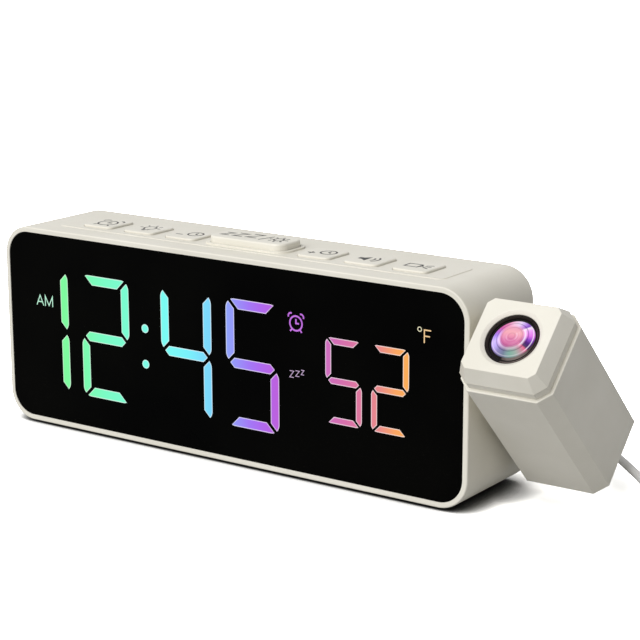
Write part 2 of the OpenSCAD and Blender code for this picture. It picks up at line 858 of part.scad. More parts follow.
module rear_cover() {
    gap = 2 * (wall + SEAT);
    pocket_wall = 1.4;
    color(CREAM) upright() difference() {
        union() {
            layer(cover_front, case_d) rounded(case_w - gap, case_h - gap, case_r - wall - SEAT);
            layer(socket_front, cover_front + 0.5) for (p = main_posts) translate(p) circle(post_r);
            layer(cover_front - 3, cover_front + 0.5) speaker_at() difference() {
                circle(speaker_d / 2 + 1.4);
                circle(speaker_d / 2 + SEAT);
            }
            layer(pocket_front - pocket_wall, cover_front + 0.5) battery_at()
                rounded(door_w + 0.4, door_h + 0.4, 3);
        }
        layer(cover_front - OVER, case_d + OVER) grille();
        layer(socket_front - OVER, socket_front + board_hole)
            for (p = main_posts) translate(p) circle(screw_r, $fn = 24);
        layer(cover_front - OVER, case_d + OVER) {
            translate([inlet_x, socket_z]) circle(inlet_r + inlet_rim + SEAT);
            translate([port_x, socket_z]) square([port_w + 2 * SEAT, port_h + 2 * SEAT], center = true);
            four(boss_x, boss_z) circle(screw_r + SEAT, $fn = 24);
        }
        layer(case_d - head_t, case_d + OVER) four(boss_x, boss_z) circle(head_r + SEAT, $fn = 32);
        battery_at() {
            layer(pocket_back, case_d + OVER) rounded(door_w, door_h, 2.6);
            layer(pocket_front, case_d) rounded(pocket_w, pocket_h, 2);
            layer(case_d - small_screw_l - HOLE_END, case_d)
                translate([0, door_screw_z]) circle(small_screw_r, $fn = 24);
        }
    }
}

module cover_screws() {
    color(STEEL) upright() four(boss_x, boss_z)
        translate([0, 0, -case_d]) rotate([180, 0, 0]) screw(cover_screw_l);
}

module speaker() {
    r = speaker_d / 2;
    dome = r / 4;
    color("#3A3B3F") upright() speaker_at() translate([0, 0, -cover_front]) rotate_extrude() polygon([
        [0, 1.4], [dome, 1.4], [dome + 0.8, 2.2], [r - 2, 0.5], [r - 1.4, 0], [r, 0], [r, 1.8], [r - 2, 2.4],
        [magnet_r, speaker_t - magnet_t], [magnet_r, speaker_t], [0, speaker_t]
    ]);
}

module coin_cell() {
    back = pocket_back - 0.1;
    color("#D4D5D2") upright() battery_at() {
        layer(back - cell_t + 0.4, back) circle(cell_d / 2, $fn = 64);
        layer(back - cell_t, back - cell_t + 0.4) circle(cell_d / 2 - 2, $fn = 64);
    }
}

// The strip under the cell and the spring strip at its edge
module cell_contacts() {
    color("#D9C27A") upright() battery_at() {
        layer(pocket_front, pocket_front + contact_t) square([cell_d - 4, contact_w], center = true);
        layer(pocket_front + contact_t - 0.1, pocket_back - 0.1 - cell_t) circle(contact_w / 2, $fn = 32);
        layer(pocket_front, pocket_back - 1) translate([-(cell_d + contact_t) / 2 - 0.05, 0])
            square([contact_t, contact_w + 2], center = true);
    }
}

module battery_door() {
    color(CREAM) upright() battery_at() difference() {
        layer(pocket_back, case_d) rounded(door_w - 0.4, door_h - 0.4, 2.4);
        layer(pocket_back - OVER, case_d + OVER)
            translate([0, door_screw_z]) circle(small_screw_r + 0.1, $fn = 24);
        for (i = [-1:1]) layer(case_d - 0.5, case_d + OVER)
            translate([0, door_h / 2 - 4.5 + i * 1.8]) square([door_w / 3, 0.8], center = true);
    }
}

module door_screw() {
    color(STEEL) upright() battery_at() translate([0, door_screw_z, -case_d - small_head_t])
        rotate([180, 0, 0]) small_screw(small_screw_l);
}

// ---- Projector ----

module octagon_slab(w, cut, low, high) {
    translate([0, 0, low]) linear_extrude(high - low) chamfered(w, cut);
}

module projector_housing() {
    skin = 0.02;
    color(CREAM) in_projector() difference() {
        union() {
            octagon_slab(beam_w, beam_cut, -beam_l / 2, rim_z);
            hull() {
                octagon_slab(beam_w, beam_cut, rim_z - skin, rim_z);
                octagon_slab(beam_w - 2 * bevel, beam_cut - bevel * CORNER, rim_z + bevel - skin, rim_z + bevel);
            }
            translate([hub_end, 0, 0]) rotate([0, 90, 0])
                cylinder(r = hub_r, h = beam_wall - beam_w / 2 - hub_end);
            translate([hub_end - collar_h - wall / 2 + 0.1, 0, -stop_path]) rotate([0, 90, 0])
                cylinder(r = stop_r, h = collar_h + wall / 2 + 0.4);
        }
        difference() {
            octagon_slab(inner_w, inner_cut, -beam_l / 2 + beam_wall, rim_z + bevel + OVER);
            difference() {
                octagon_slab(beam_w - 1, beam_cut, lamp_z - 1.6, lamp_z);
                octagon_slab(inner_w - 3, inner_cut, lamp_z - 1.6 - OVER, lamp_z + OVER);
            }
            for (side = [-1, 1]) translate([0, side * ears_at, lamp_z - ear_post_l])
                cylinder(r = ear_r, h = ear_post_l);
        }
        for (side = [-1, 1]) translate([0, side * ears_at, lamp_top + ear_t - ear_screw_l - HOLE_END])
            cylinder(r = small_screw_r, h = ear_screw_l, $fn = 24);
        translate([hub_end - OVER, 0, 0]) rotate([0, 90, 0]) cylinder(r = shaft_d / 2, h = -hub_end);
        hub_screw_places() translate([0, 0, shaft_plate_t - HOLE_END - small_screw_l])
            cylinder(r = small_screw_r, h = small_screw_l, $fn = 24);
    }
}

// Three places round the shaft, on the inside of the housing's wall, with Z pointing inwards
module hub_screw_places() {
    for (a = [90, 210, 330]) rotate([a, 0, 0])
        translate([beam_wall - beam_w / 2, 0, hub_screws_at]) rotate([0, 90, 0]) children();
}

module projector_cap() {
    skin = 0.02;
    color(CREAM) in_projector() difference() {
        union() {
            hull() {
                octagon_slab(cap_w, cap_cut, cap_z, cap_z + skin);
                octagon_slab(face_w, face_cut, face_z - skin, face_z);
            }
            octagon_slab(neck_w, cap_cut, rim_z + bevel, cap_z + skin);
            octagon_slab(inner_w - 0.2, inner_cut, neck_z, cap_z);
        }
        translate([0, 0, neck_z - OVER]) cylinder(d = ring_d + 0.2, h = face_z - neck_z + 2 * OVER, $fn = 64);
        translate([0, 0, face_z - 0.8])
            cylinder(d1 = ring_d + 0.2, d2 = ring_d + 2.6, h = 0.8 + 0.01, $fn = 64);
    }
}

module pivot_shaft() {
    head = beam_wall - beam_w / 2 + shaft_plate_t;
    tail = groove_at - groove_w - 0.8;
    color(STEEL) in_projector() difference() {
        union() {
            translate([head - shaft_plate_t, 0, 0]) rotate([0, 90, 0])
                cylinder(r = shaft_plate_r, h = shaft_plate_t);
            translate([tail, 0, 0]) rotate([0, 90, 0]) cylinder(d = shaft_d, h = head - 0.4 - tail);
        }
        translate([tail - OVER, 0, 0]) rotate([0, 90, 0])
            cylinder(r = shaft_bore_r, h = head - tail + 2 * OVER);
        translate([groove_at - groove_w, 0, 0]) rotate([0, 90, 0]) difference() {
            cylinder(r = shaft_d, h = groove_w);
            translate([0, 0, -OVER]) cylinder(r = shaft_d / 2 - groove_d, h = groove_w + 2 * OVER);
        }
        hub_screw_places() translate([0, 0, -OVER])
            cylinder(r = small_screw_r + 0.1, h = shaft_plate_t + 2 * OVER, $fn = 24);
    }
}

module hub_screws() {
    color(STEEL) in_projector() hub_screw_places()
        translate([0, 0, shaft_plate_t + small_head_t]) small_screw(small_screw_l);
}

module wave_washer() {
    color(STEEL) in_projector() translate([groove_at + 0.1, 0, 0]) rotate([0, 90, 0]) difference() {
        cylinder(r = shaft_d / 2 + 2.7, h = washer_t);
        translate([0, 0, -OVER]) cylinder(r = shaft_d / 2 + FIT, h = washer_t + 2 * OVER);
    }
}

// Open ring that snaps into the groove of the shaft
module retaining_ring() {
    ring_t = groove_w - 2 * FIT;
    back = groove_at - groove_w + FIT;
    color(STEEL) in_projector() translate([back, 0, 0]) rotate([0, 90, 0]) difference() {
        cylinder(r = shaft_d / 2 + 2.5, h = ring_t);
        translate([0, 0, -OVER]) cylinder(r = shaft_d / 2 - groove_d + FIT, h = ring_t + 2 * OVER);
        translate([0, -shaft_bore_r / 2 - 0.3, -OVER]) cube([shaft_d, shaft_bore_r + 0.6, ring_t + 2 * OVER]);
    }
}

// The lamp's two leads: out through the hollow shaft, and down beside the barrel
module projector_wires() {
    bend = beam_wall - beam_w / 2 + shaft_plate_t + small_head_t + wire_r;
    start = groove_at - 6.1;
    color("#B3272B") in_projector() for (side = [-1, 1]) translate([0, side * (wire_r + 0.1), 0]) {
        translate([start, 0, 0]) rotate([0, 90, 0]) cylinder(r = wire_r, h = bend - start);
        translate([bend, 0, 0]) sphere(r = wire_r);
        translate([bend, 0, lamp_top]) cylinder(r = wire_r, h = -lamp_top);
    }
}

module lamp_board() {
    color(BOARD) in_projector() difference() {
        octagon_slab(inner_w - 0.4, inner_cut, lamp_z, lamp_top);
        for (side = [-1, 1]) translate([0, side * ears_at, lamp_z - OVER])
            cylinder(r = small_screw_r + 0.1, h = board_t + 2 * OVER, $fn = 24);
    }
}

module projector_led() {
    color("#F5D98A") in_projector() translate([0, 0, lamp_top]) {
        linear_extrude(1) rounded(7, 7, 1);
        translate([0, 0, 1]) rotate_extrude() intersection() {
            translate([0, -1.4]) circle(r = 3.2);
            square([4, 4]);
        }
    }
}

module lens_barrel() {
    color("#1B1B1E") in_projector() difference() {
        union() {
            translate([0, 0, lamp_top]) cylinder(r = barrel_r, h = barrel_top - lamp_top);
            translate([0, 0, lamp_top]) linear_extrude(ear_t)
                rounded(2 * ear_r + 0.8, 2 * (ears_at + 1.8), ear_r + 0.2);
        }
        translate([0, 0, lamp_top - OVER])
            cylinder(r = barrel_r - 2.2, h = condenser_z - lamp_top + 2 * OVER);
        translate([0, 0, condenser_z]) cylinder(r = condenser_r + FIT, h = plate_z - condenser_z + OVER);
        translate([0, 0, plate_z]) cylinder(r = plate_r + FIT, h = barrel_top - plate_z + OVER);
        for (side = [-1, 1]) translate([0, side * ears_at, lamp_top - OVER])
            cylinder(r = small_screw_r + 0.1, h = ear_t + 2 * OVER, $fn = 24);
    }
}

module barrel_screws() {
    color(STEEL) in_projector() for (side = [-1, 1])
        translate([0, side * ears_at, lamp_top + ear_t + small_head_t]) small_screw(ear_screw_l);
}

// Plano-convex condenser on the barrel's lower step
module condenser_lens() {
    edge = 1.2;
    r = condenser_r - 0.4;
    depth = 6.2;
    color([0.85, 0.92, 0.95, 0.5]) in_projector() translate([0, 0, condenser_z]) rotate_extrude() union() {
        square([condenser_r, edge]);
        intersection() {
            translate([0, edge - depth]) circle(r = sqrt(r * r + depth * depth), $fn = 64);
            translate([0, edge - 0.2]) square([r, r]);
        }
    }
}

// Round glass plate that carries the small liquid-crystal image
module image_plate() {
    color([0.35, 0.4, 0.45, 0.6]) in_projector() translate([0, 0, plate_z]) {
        cylinder(r = plate_r, h = plate_t);
        translate([0, 0, plate_t]) linear_extrude(0.5) square(lcd_w, center = true);
    }
}

module focus_ring() {
    color(BLACK) in_projector() difference() {
        union() {
            translate([0, 0, flange_z]) cylinder(r = ring_d / 2 + 0.8, h = flange_h, $fn = 64);
            translate([0, 0, flange_z]) cylinder(d = ring_d, h = ring_z - flange_z, $fn = 64);
        }
        translate([0, 0, flange_z - OVER])
            cylinder(r = ring_bore, h = ring_z - flange_z + 2 * OVER, $fn = 64);
        translate([0, 0, ring_z - 0.5]) cylinder(r1 = ring_bore, r2 = ring_bore + 0.5, h = 0.51, $fn = 64);
        for (a = [0:30:330]) rotate(a) translate([0, ring_bore + 0.4, ring_z - 0.3])
            cylinder(r = 0.22, h = 1, $fn = 16);
    }
}

module lens_cell() {
    outer = ring_bore - 0.1;
    color("#151518") in_projector() difference() {
        translate([0, 0, cell_back]) cylinder(r = outer, h = cell_front - cell_back, $fn = 64);
        translate([0, 0, cell_back - OVER]) cylinder(r = outer - 1.2, h = cell_front - cell_back + 2 * OVER, $fn = 64);
        translate([0, 0, glass_z]) cylinder(d = glass_d, h = cell_front - glass_z + OVER, $fn = 64);
    }
}

// Biconvex lens seated on the cell's step
module projection_lens() {
    r = glass_d / 2;
    front_r = (r * r + glass_bulge * glass_bulge) / (2 * glass_bulge);
    color([0.7, 0.45, 0.85, 0.6]) in_projector() translate([0, 0, glass_z]) rotate_extrude() union() {
        square([r, glass_edge]);
        intersection() {
            translate([0, glass_edge + glass_bulge - front_r]) circle(r = front_r, $fn = 96);
            translate([0, glass_edge - 0.2]) square([r, glass_bulge + 1]);
        }
    }
}

// ---- Cord ----

// Moulded grip with its bend relief, and the sleeve that goes over the inlet's pin
module clock_plug() {
    relief_r = cord_r + 0.3;
    sleeve_bore = sleeve_l - pin_back + HOLE_END;
    color("#EDECE8") placed() translate([inlet_x, case_d, case_mid + socket_z]) rotate([-90, 0, 0])
        difference() {
            union() {
                translate([0, 0, -sleeve_l]) cylinder(r = sleeve_r, h = sleeve_l + 0.2);
                translate([0, 0, 0.1]) rotate_extrude() polygon([
                    [0, 0], [plug_r - 0.4, 0], [plug_r, 0.5],
                    [plug_r, plug_grip_l - 1.6], [plug_r - 0.6, plug_grip_l - 0.6],
                    [relief_r + 1.2, plug_grip_l], [relief_r + 0.8, plug_grip_l + 3],
                    [relief_r, plug_out - 0.1], [0, plug_out - 0.1]
                ]);
            }
            translate([0, 0, -sleeve_l - OVER]) cylinder(r = pin_r + 0.25, h = sleeve_bore + OVER);
        }
}

function mix(a, b, c, d, t) = 0.5 * (2 * b + (c - a) * t + (2 * a - 5 * b + 4 * c - d) * t * t
    + (3 * b - a - 3 * c + d) * t * t * t);
function point(path, i) = path[max(0, min(len(path) - 1, i))];
// Smooth curve through the route's points, with a few steps between each pair
function smooth(path, steps) = concat(
    [for (i = [0:len(path) - 2], k = [0:steps - 1])
        mix(point(path, i - 1), path[i], path[i + 1], point(path, i + 2), k / steps)],
    [path[len(path) - 1]]);
function unit(v) = v / norm(v);
function heading(path, i) = unit(point(path, i + 1) - point(path, i - 1));
function ring_at(path, i, r, sides) =
    let (along = heading(path, i), across = unit(cross(along, [0, 0, 1])), up = cross(across, along))
    [for (k = [0:sides - 1]) path[i] + r * (cos(360 * k / sides) * across + sin(360 * k / sides) * up)];

// Round tube along a path, with flat ends
module tube(path, r, sides) {
    n = len(path);
    points = [for (i = [0:n - 1]) each ring_at(path, i, r, sides)];
    walls = [for (i = [0:n - 2], k = [0:sides - 1])
        let (a = i * sides, b = a + sides, next = (k + 1) % sides)
        each [[a + k, a + next, b + next], [a + k, b + next, b + k]]];
    first = [for (k = [sides - 1:-1:0]) k];
    last = [for (k = [0:sides - 1]) (n - 1) * sides + k];
    polyhedron(points, concat(walls, [first, last]));
}

module power_cord() {
    color("#EDECE8") placed() tube(smooth(LEAD, 2), cord_r, 8);
}

module cord_tail() {
    color("#EDECE8") placed() tube(smooth(TAIL, 2), cord_r, 8);
}

module cord_coil() {
    color("#EDECE8") placed() translate([coil_mid[0], coil_mid[1], coil_h / 2]) rotate_extrude()
        translate([coil_r, 0]) rounded(coil_band, coil_h, cord_r * 2);
}

// Soft strap over the coil, down to the floor on both sides
module cord_tie() {
    gap = 0.1;
    color("#3A3A3C") placed() translate([coil_mid[0], coil_mid[1], 0]) rotate(tie_turn) difference() {
        translate([coil_r - coil_band / 2 - tie_t, -tie_w / 2, 0])
            cube([coil_band + 2 * tie_t, tie_w, coil_h + tie_t]);
        translate([0, 0, -OVER]) rotate_extrude($fn = 96)
            translate([coil_r - coil_band / 2 - gap, 0]) square([coil_band + 2 * gap, coil_h + gap + OVER]);
    }
}

// Places a piece of the far plug, with Z running out of the plug's mouth
module far_plug() {
    placed() translate([TAIL_END[0], TAIL_END[1], plug_z]) rotate([-90, 0, 0]) children();
}

module usb_plug() {
    color("#EDECE8") far_plug() {
        translate([0, 0, relief_l]) linear_extrude(grip_l) rounded(grip_w, grip_h, 1.6);
        translate([0, plug_z - TAIL_END[2], 0])
            cylinder(r1 = cord_r + 0.4, r2 = 2 * cord_r, h = relief_l + 0.1);
    }
}

module usb_shell() {
    color(STEEL) far_plug() translate([0, 0, relief_l + grip_l]) {
        difference() {
            linear_extrude(shell_l) square([shell_w, shell_h], center = true);
            translate([0, 0, 1]) linear_extrude(shell_l)
                square([shell_w - 2 * sheet_t, shell_h - 2 * sheet_t], center = true);
        }
        translate([0, (shell_h - sheet_t - tongue_t) / 2, 0.5])
            linear_extrude(shell_l - 1) square([shell_w - sheet_t, tongue_t], center = true);
    }
}

main_housing();
rear_cover();
cover_screws();
rubber_feet();
display_lens();
lens_tape();
lit_segments();
dark_segments();
light_box();
led_board();
segment_leds();
display_screws();
main_board();
board_parts();
board_screws();
power_inlet();
charging_port();
speaker();
coin_cell();
cell_contacts();
battery_door();
door_screw();
key_board();
tact_switches();
key_board_screws();
snooze_bar();
key(0);  // alarm_key
key(1);  // light_key
key(2);  // minus_key
key(3);  // plus_key
key(4);  // volume_key
key(5);  // projector_key
projector_housing();
projector_cap();
pivot_shaft();
hub_screws();
wave_washer();
retaining_ring();
projector_wires();
lamp_board();
projector_led();
lens_barrel();
barrel_screws();
condenser_lens();
image_plate();
focus_ring();
lens_cell();
projection_lens();
clock_plug();
power_cord();
cord_coil();
cord_tie();
cord_tail();
usb_plug();
usb_shell();
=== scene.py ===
import math

import bmesh
import bpy
import numpy as np
from mathutils import Euler, Matrix, Vector


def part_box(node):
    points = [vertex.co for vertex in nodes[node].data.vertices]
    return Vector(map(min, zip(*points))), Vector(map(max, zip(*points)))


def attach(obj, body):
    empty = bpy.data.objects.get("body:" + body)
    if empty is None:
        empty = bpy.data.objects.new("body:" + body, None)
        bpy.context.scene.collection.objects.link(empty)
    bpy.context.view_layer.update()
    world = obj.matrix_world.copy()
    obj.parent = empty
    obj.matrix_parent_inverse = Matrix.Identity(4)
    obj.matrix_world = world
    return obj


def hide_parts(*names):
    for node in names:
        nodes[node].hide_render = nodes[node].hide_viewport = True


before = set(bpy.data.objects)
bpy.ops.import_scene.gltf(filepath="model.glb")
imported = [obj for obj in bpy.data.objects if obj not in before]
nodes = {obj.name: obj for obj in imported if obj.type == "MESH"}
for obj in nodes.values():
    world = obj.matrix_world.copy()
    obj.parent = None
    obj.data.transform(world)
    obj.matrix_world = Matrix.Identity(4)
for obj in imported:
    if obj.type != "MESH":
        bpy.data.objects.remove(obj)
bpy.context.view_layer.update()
MM = 0.001

# ---- Camera ----
# A long lens stands beyond the clock's right end and a little above it, and looks along and down at the
# display. Its place and its turn were solved from the case's edges.

EYE = Vector((0.36337, -0.50148, 0.19869))
EYE_TURN, EYE_DIP, EYE_ROLL = 34.97, 13.67, -0.15
camera = bpy.data.objects.new("camera", bpy.data.cameras.new("camera"))
camera.data.sensor_width = 36
camera.data.lens = 108.95
camera.matrix_world = (
    Matrix.Translation(EYE)
    @ Euler((math.radians(90 - EYE_DIP), 0, math.radians(EYE_TURN))).to_matrix().to_4x4()
    @ Matrix.Rotation(math.radians(EYE_ROLL), 4, "Z")
)
bpy.context.scene.collection.objects.link(camera)
bpy.context.scene.camera = camera

# ---- Power cord ----
# A round two-core lead, 1.19 m long and sheathed in soft white PVC, moulded onto a plug at each end.
# It leaves the clock's back, swings round behind the projector, and its spare length is wound into a coil.

# The cord's diameter, the sides of its round mesh, and the step along its path, in millimetres
CORD_D, CORD_SIDES, PATH_STEP = 2.8, 16, 1.2
CASE_HALF_W = 95
housing_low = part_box("main_housing")[0]
# Where the case's middle, front and base lie in the row's frame, in millimetres
CASE_ORIGIN = np.array([housing_low.x / MM + CASE_HALF_W, housing_low.y / MM, 0])
# From the plug at the clock to the coil, and from the coil to the far plug, on the cord's centreline
LEAD = [
    (56, 56.6, 21.8), (56.5, 62.7, 21.3), (60, 69.4, 19.5), (67, 74.7, 17), (77, 77, 14), (88, 75.5, 11.4),
    (98, 71.5, 9.4), (106, 66.8, 8.3), (113, 61.3, 8), (120, 54.8, 8), (126.5, 48.3, 8), (133, 41.8, 8),
    (140, 34.6, 7.2), (147.5, 26.6, 5.4), (154.5, 18.6, 3.4), (161, 11.6, 2), (167.1, 5.8, 1.5),
]
TAIL = [
    (200.2, 1.3, 9.4), (203.1, 3, 6.6), (205.7, 5.9, 3.6), (207.9, 9.8, 1.8), (209.8, 14.6, 1.5),
    (211.3, 20.6, 1.5), (212.4, 27.5, 1.9), (213, 36, 2.6), (213, 43, 3.4),
]
# The coil's middle and mean radius, its layers and the turns in each, and the angle at which it starts
COIL_MID, COIL_R = (186, 16.7), 15.5
COIL_LAYERS, COIL_SPREAD = 4, 2.4
COIL_START = 210
# Rounds of averaging each point with its neighbours, which open the kinks
SOFTENINGS = 8


def coil_points(step=15):
    """The coil's centreline, with a point every few degrees. In each layer it spirals in or out by a cord's
    width a turn, and between two layers it climbs by a cord's width within a quarter turn."""
    half = COIL_SPREAD * CORD_D / 2
    points, start = [], COIL_START
    for layer in range(COIL_LAYERS):
        height = CORD_D * (layer + 0.5)
        first, last = (COIL_R + half, COIL_R - half) if layer % 2 == 0 else (COIL_R - half, COIL_R + half)
        parts = [(COIL_SPREAD * 360, first, last, 0), (90, last, last, CORD_D)]
        for span, r_from, r_to, climb in parts if layer < COIL_LAYERS - 1 else parts[:1]:
            for share in np.linspace(0, 1, round(span / step), endpoint=False):
                r = r_from + (r_to - r_from) * share
                turned = math.radians(start + span * share)
                x, y = COIL_MID[0] + r * math.cos(turned), COIL_MID[1] + r * math.sin(turned)
                points.append((x, y, height + climb * share))
            start += span
    return points


def smooth_path(points, spacing):
    """Points at an even spacing along a Catmull-Rom curve through the given ones, softened so that a
    bend at a given point is spread over its neighbours."""
    p = np.array(points, float)
    ends = np.vstack([2 * p[0] - p[1], p, 2 * p[-1] - p[-2]])
    a, b, c, d = ends[:-3, None], ends[1:-2, None], ends[2:-1, None], ends[3:, None]
    t = np.linspace(0, 1, 16, endpoint=False)[None, :, None]
    fine = 0.5 * (2 * b + (c - a) * t + (2 * a - 5 * b + 4 * c - d) * t**2 + (3 * b - a - 3 * c + d) * t**3)
    fine = np.vstack([fine.reshape(-1, 3), p[-1]])
    along = np.concatenate([[0], np.cumsum(np.linalg.norm(np.diff(fine, axis=0), axis=1))])
    even = np.linspace(0, along[-1], max(3, round(along[-1] / spacing)))
    path = np.stack([np.interp(even, along, fine[:, k]) for k in range(3)], axis=1)
    for _ in range(SOFTENINGS):
        path[1:-1] = (path[:-2] + 2 * path[1:-1] + path[2:]) / 4
    return path


def new_piece(name, vertices, faces, body="clock", smooth=True):
    """A mesh piece in metres that rides on a body."""
    mesh = bpy.data.meshes.new(name)
    mesh.from_pydata(np.asarray(vertices).tolist(), [], [list(f) for f in faces])
    mesh.validate()
    mesh.polygons.foreach_set("use_smooth", [smooth] * len(mesh.polygons))
    piece = bpy.data.objects.new(name, mesh)
    bpy.context.scene.collection.objects.link(piece)
    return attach(piece, body)


def tube(path, radius, sides):
    """Vertices and faces of a round tube along a path: a circle carried along it without twist, by
    turning its side vector as little as possible from point to point."""
    heading = np.gradient(path, axis=0)
    heading /= np.linalg.norm(heading, axis=1)[:, None]
    side = np.cross(heading[0], (0, 0, 1))
    sides_at = []
    for h in heading:
        side = side - h * (side @ h)
        side /= np.linalg.norm(side)
        sides_at.append(side)
    across = np.array(sides_at)
    up = np.cross(heading, across)
    angle = np.linspace(0, 2 * np.pi, sides, endpoint=False)[None, :, None]
    rings = path[:, None] + radius * (np.cos(angle) * across[:, None] + np.sin(angle) * up[:, None])
    n = len(path)
    i, k = np.meshgrid(np.arange(n - 1), np.arange(sides), indexing="ij")
    i, k = i.ravel(), k.ravel()
    after = (k + 1) % sides
    quads = np.stack([i * sides + k, (i + 1) * sides + k, (i + 1) * sides + after, i * sides + after], axis=1)
    caps = [list(range(sides)), list(range((n - 1) * sides, n * sides))[::-1]]
    return rings.reshape(-1, 3), quads.tolist() + caps


# The coil's first and last two points give way to the lead's and the tail's, so that the cord enters and
# leaves it in a wide bend. Nowhere does it dip into the table.
route = smooth_path(LEAD + coil_points()[2:-2] + TAIL, PATH_STEP)
route[:, 2] = np.maximum(route[:, 2], CORD_D / 2)
route = (route + CASE_ORIGIN) * MM
power_lead = new_piece("power_lead", *tube(route, CORD_D / 2 * MM, CORD_SIDES))
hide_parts("power_cord", "cord_tail", "cord_coil")


def linear(code):
    """A linear colour from an sRGB hex code such as #E8E2D5."""
    part = [int(code[i : i + 2], 16) / 255 for i in (1, 3, 5)]
    return [c / 12.92 if c <= 0.04045 else ((c + 0.055) / 1.055) ** 2.4 for c in part] + [1]


def add(tree, kind, links=None, stops=None, **settings):
    """Adds a node with its settings and, on a colour ramp, its stops, and sets or links its inputs."""
    node = tree.nodes.new("ShaderNode" + kind)
    for name, value in settings.items():
        setattr(node, name, value)
    for i, (place, code) in enumerate(stops or []):
        ramp = node.color_ramp.elements
        stop = ramp[i] if i < 2 else ramp.new(1)
        stop.position, stop.color = place, linear(code)
    for name, value in (links or {}).items():
        if isinstance(value, bpy.types.NodeSocket):
            tree.links.new(value, node.inputs[name])
        else:
            node.inputs[name].default_value = value
    return node


def surface(name, **values):
    """A material with one Principled shader, whose constant values are set on its own sockets."""
    material = bpy.data.materials.new(name)
    material.use_nodes = True
    shader = material.node_tree.nodes["Principled BSDF"]
    for socket, value in values.items():
        shader.inputs[socket.replace("_", " ")].default_value = value
    return material, material.node_tree, shader


def moulded(name, dark, light, grain, relief, patch=14, **values):
    """A moulded plastic: its colour drifts between two tones over patches of some millimetres, and the
    mould's texture is a noise of the given grain and relief, in millimetres."""
    material, tree, shader = surface(name, **values)
    place = add(tree, "TexCoord").outputs["Object"]
    drift = add(tree, "TexNoise", {"Vector": place, "Scale": 1 / (patch * MM), "Detail": 3.0})
    tone = add(tree, "ValToRGB", {"Fac": drift.outputs["Fac"]}, stops=[(0.35, dark), (0.65, light)])
    skin = add(tree, "TexNoise", {"Vector": place, "Scale": 1 / (grain * MM), "Detail": 2.0})
    bump = add(tree, "Bump", {"Height": skin.outputs["Fac"], "Distance": relief * MM, "Strength": 1.0})
    tree.links.new(tone.outputs["Color"], shader.inputs["Base Color"])
    tree.links.new(bump.outputs["Normal"], shader.inputs["Normal"])
    return material


def dress(material, *pieces):
    """Gives CAD nodes, by their names, or pieces their material."""
    for piece in pieces:
        mesh = (nodes[piece] if isinstance(piece, str) else piece).data
        mesh.materials.clear()
        mesh.materials.append(material)


# Extruded soft PVC has a satin skin with a faint waviness.
pvc = moulded("soft_pvc", "#F1F0ED", "#F8F7F5", grain=1.6, relief=0.03, Roughness=0.42, IOR=1.53)
dress(pvc, power_lead, "clock_plug", "usb_plug")
# Hook-and-loop tape: black nylon loops over a woven back.
loop_tape = moulded("loop_tape", "#1B1B1D", "#2C2C2F", grain=0.5, relief=0.25, patch=1.2, Roughness=0.9)
dress(loop_tape, "cord_tie")

# ---- Case ----
# The housing, the rear cover and the battery door are injection-moulded ABS in a warm cream. The housing is
# one tube with its end walls, its raised key strip and its rim, and the cover is screwed on from behind.

# Edges sharper than the first angle are rounded, and the shading breaks at those sharper than the second
EDGE_ANGLE, CREASE_ANGLE = 30, 40
CASE_EDGE = 0.12


def softened(node, name, radius, body="clock"):
    """A CAD node as the mould leaves it: its triangles are joined into whole faces, and each outer edge
    sharper than EDGE_ANGLE is rounded to the radius, in millimetres. It replaces the node."""
    mesh = nodes[node].data.copy()
    mesh.name = name
    shape = bmesh.new()
    shape.from_mesh(mesh)
    bmesh.ops.remove_doubles(shape, verts=shape.verts, dist=0.002 * MM)
    bmesh.ops.dissolve_limit(shape, angle_limit=math.radians(0.5), verts=shape.verts, edges=shape.edges)
    bmesh.ops.recalc_face_normals(shape, faces=shape.faces)
    if radius:
        sharp = [e for e in shape.edges if e.is_convex and e.calc_face_angle(0) > math.radians(EDGE_ANGLE)]
        bmesh.ops.bevel(shape, geom=sharp, offset=radius * MM, segments=2, profile=0.5, affect="EDGES")
    shape.to_mesh(mesh)
    shape.free()
    if "custom_normal" in mesh.attributes:
        mesh.attributes.remove(mesh.attributes["custom_normal"])
    mesh.polygons.foreach_set("use_smooth", [True] * len(mesh.polygons))
    mesh.set_sharp_from_angle(angle=math.radians(CREASE_ANGLE))
    piece = bpy.data.objects.new(name, mesh)
    bpy.context.scene.collection.objects.link(piece)
    piece.modifiers.new("flat_faces", "WEIGHTED_NORMAL").keep_sharp = True
    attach(piece, body)
    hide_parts(node)
    return piece


# The mould is spark-eroded, which leaves a fine satin grain that only dulls the gloss a little.
cream_abs = moulded(
    "cream_abs", "#E1DDD0", "#E7E3D7", grain=0.7, relief=0.012, patch=30, Roughness=0.46, IOR=1.54,
)
case_shell = softened("main_housing", "case_shell", CASE_EDGE)
cover_panel = softened("rear_cover", "cover_panel", CASE_EDGE)
battery_lid = softened("battery_door", "battery_lid", CASE_EDGE)
for piece in (case_shell, cover_panel, battery_lid):
    dress(cream_abs, piece)
# The feet are moulded nitrile rubber, pushed into round recesses under the base.
foot_rubber = moulded("nitrile_rubber", "#232325", "#2E2E30", grain=0.4, relief=0.03, patch=3, Roughness=0.85)
dress(foot_rubber, "rubber_feet")


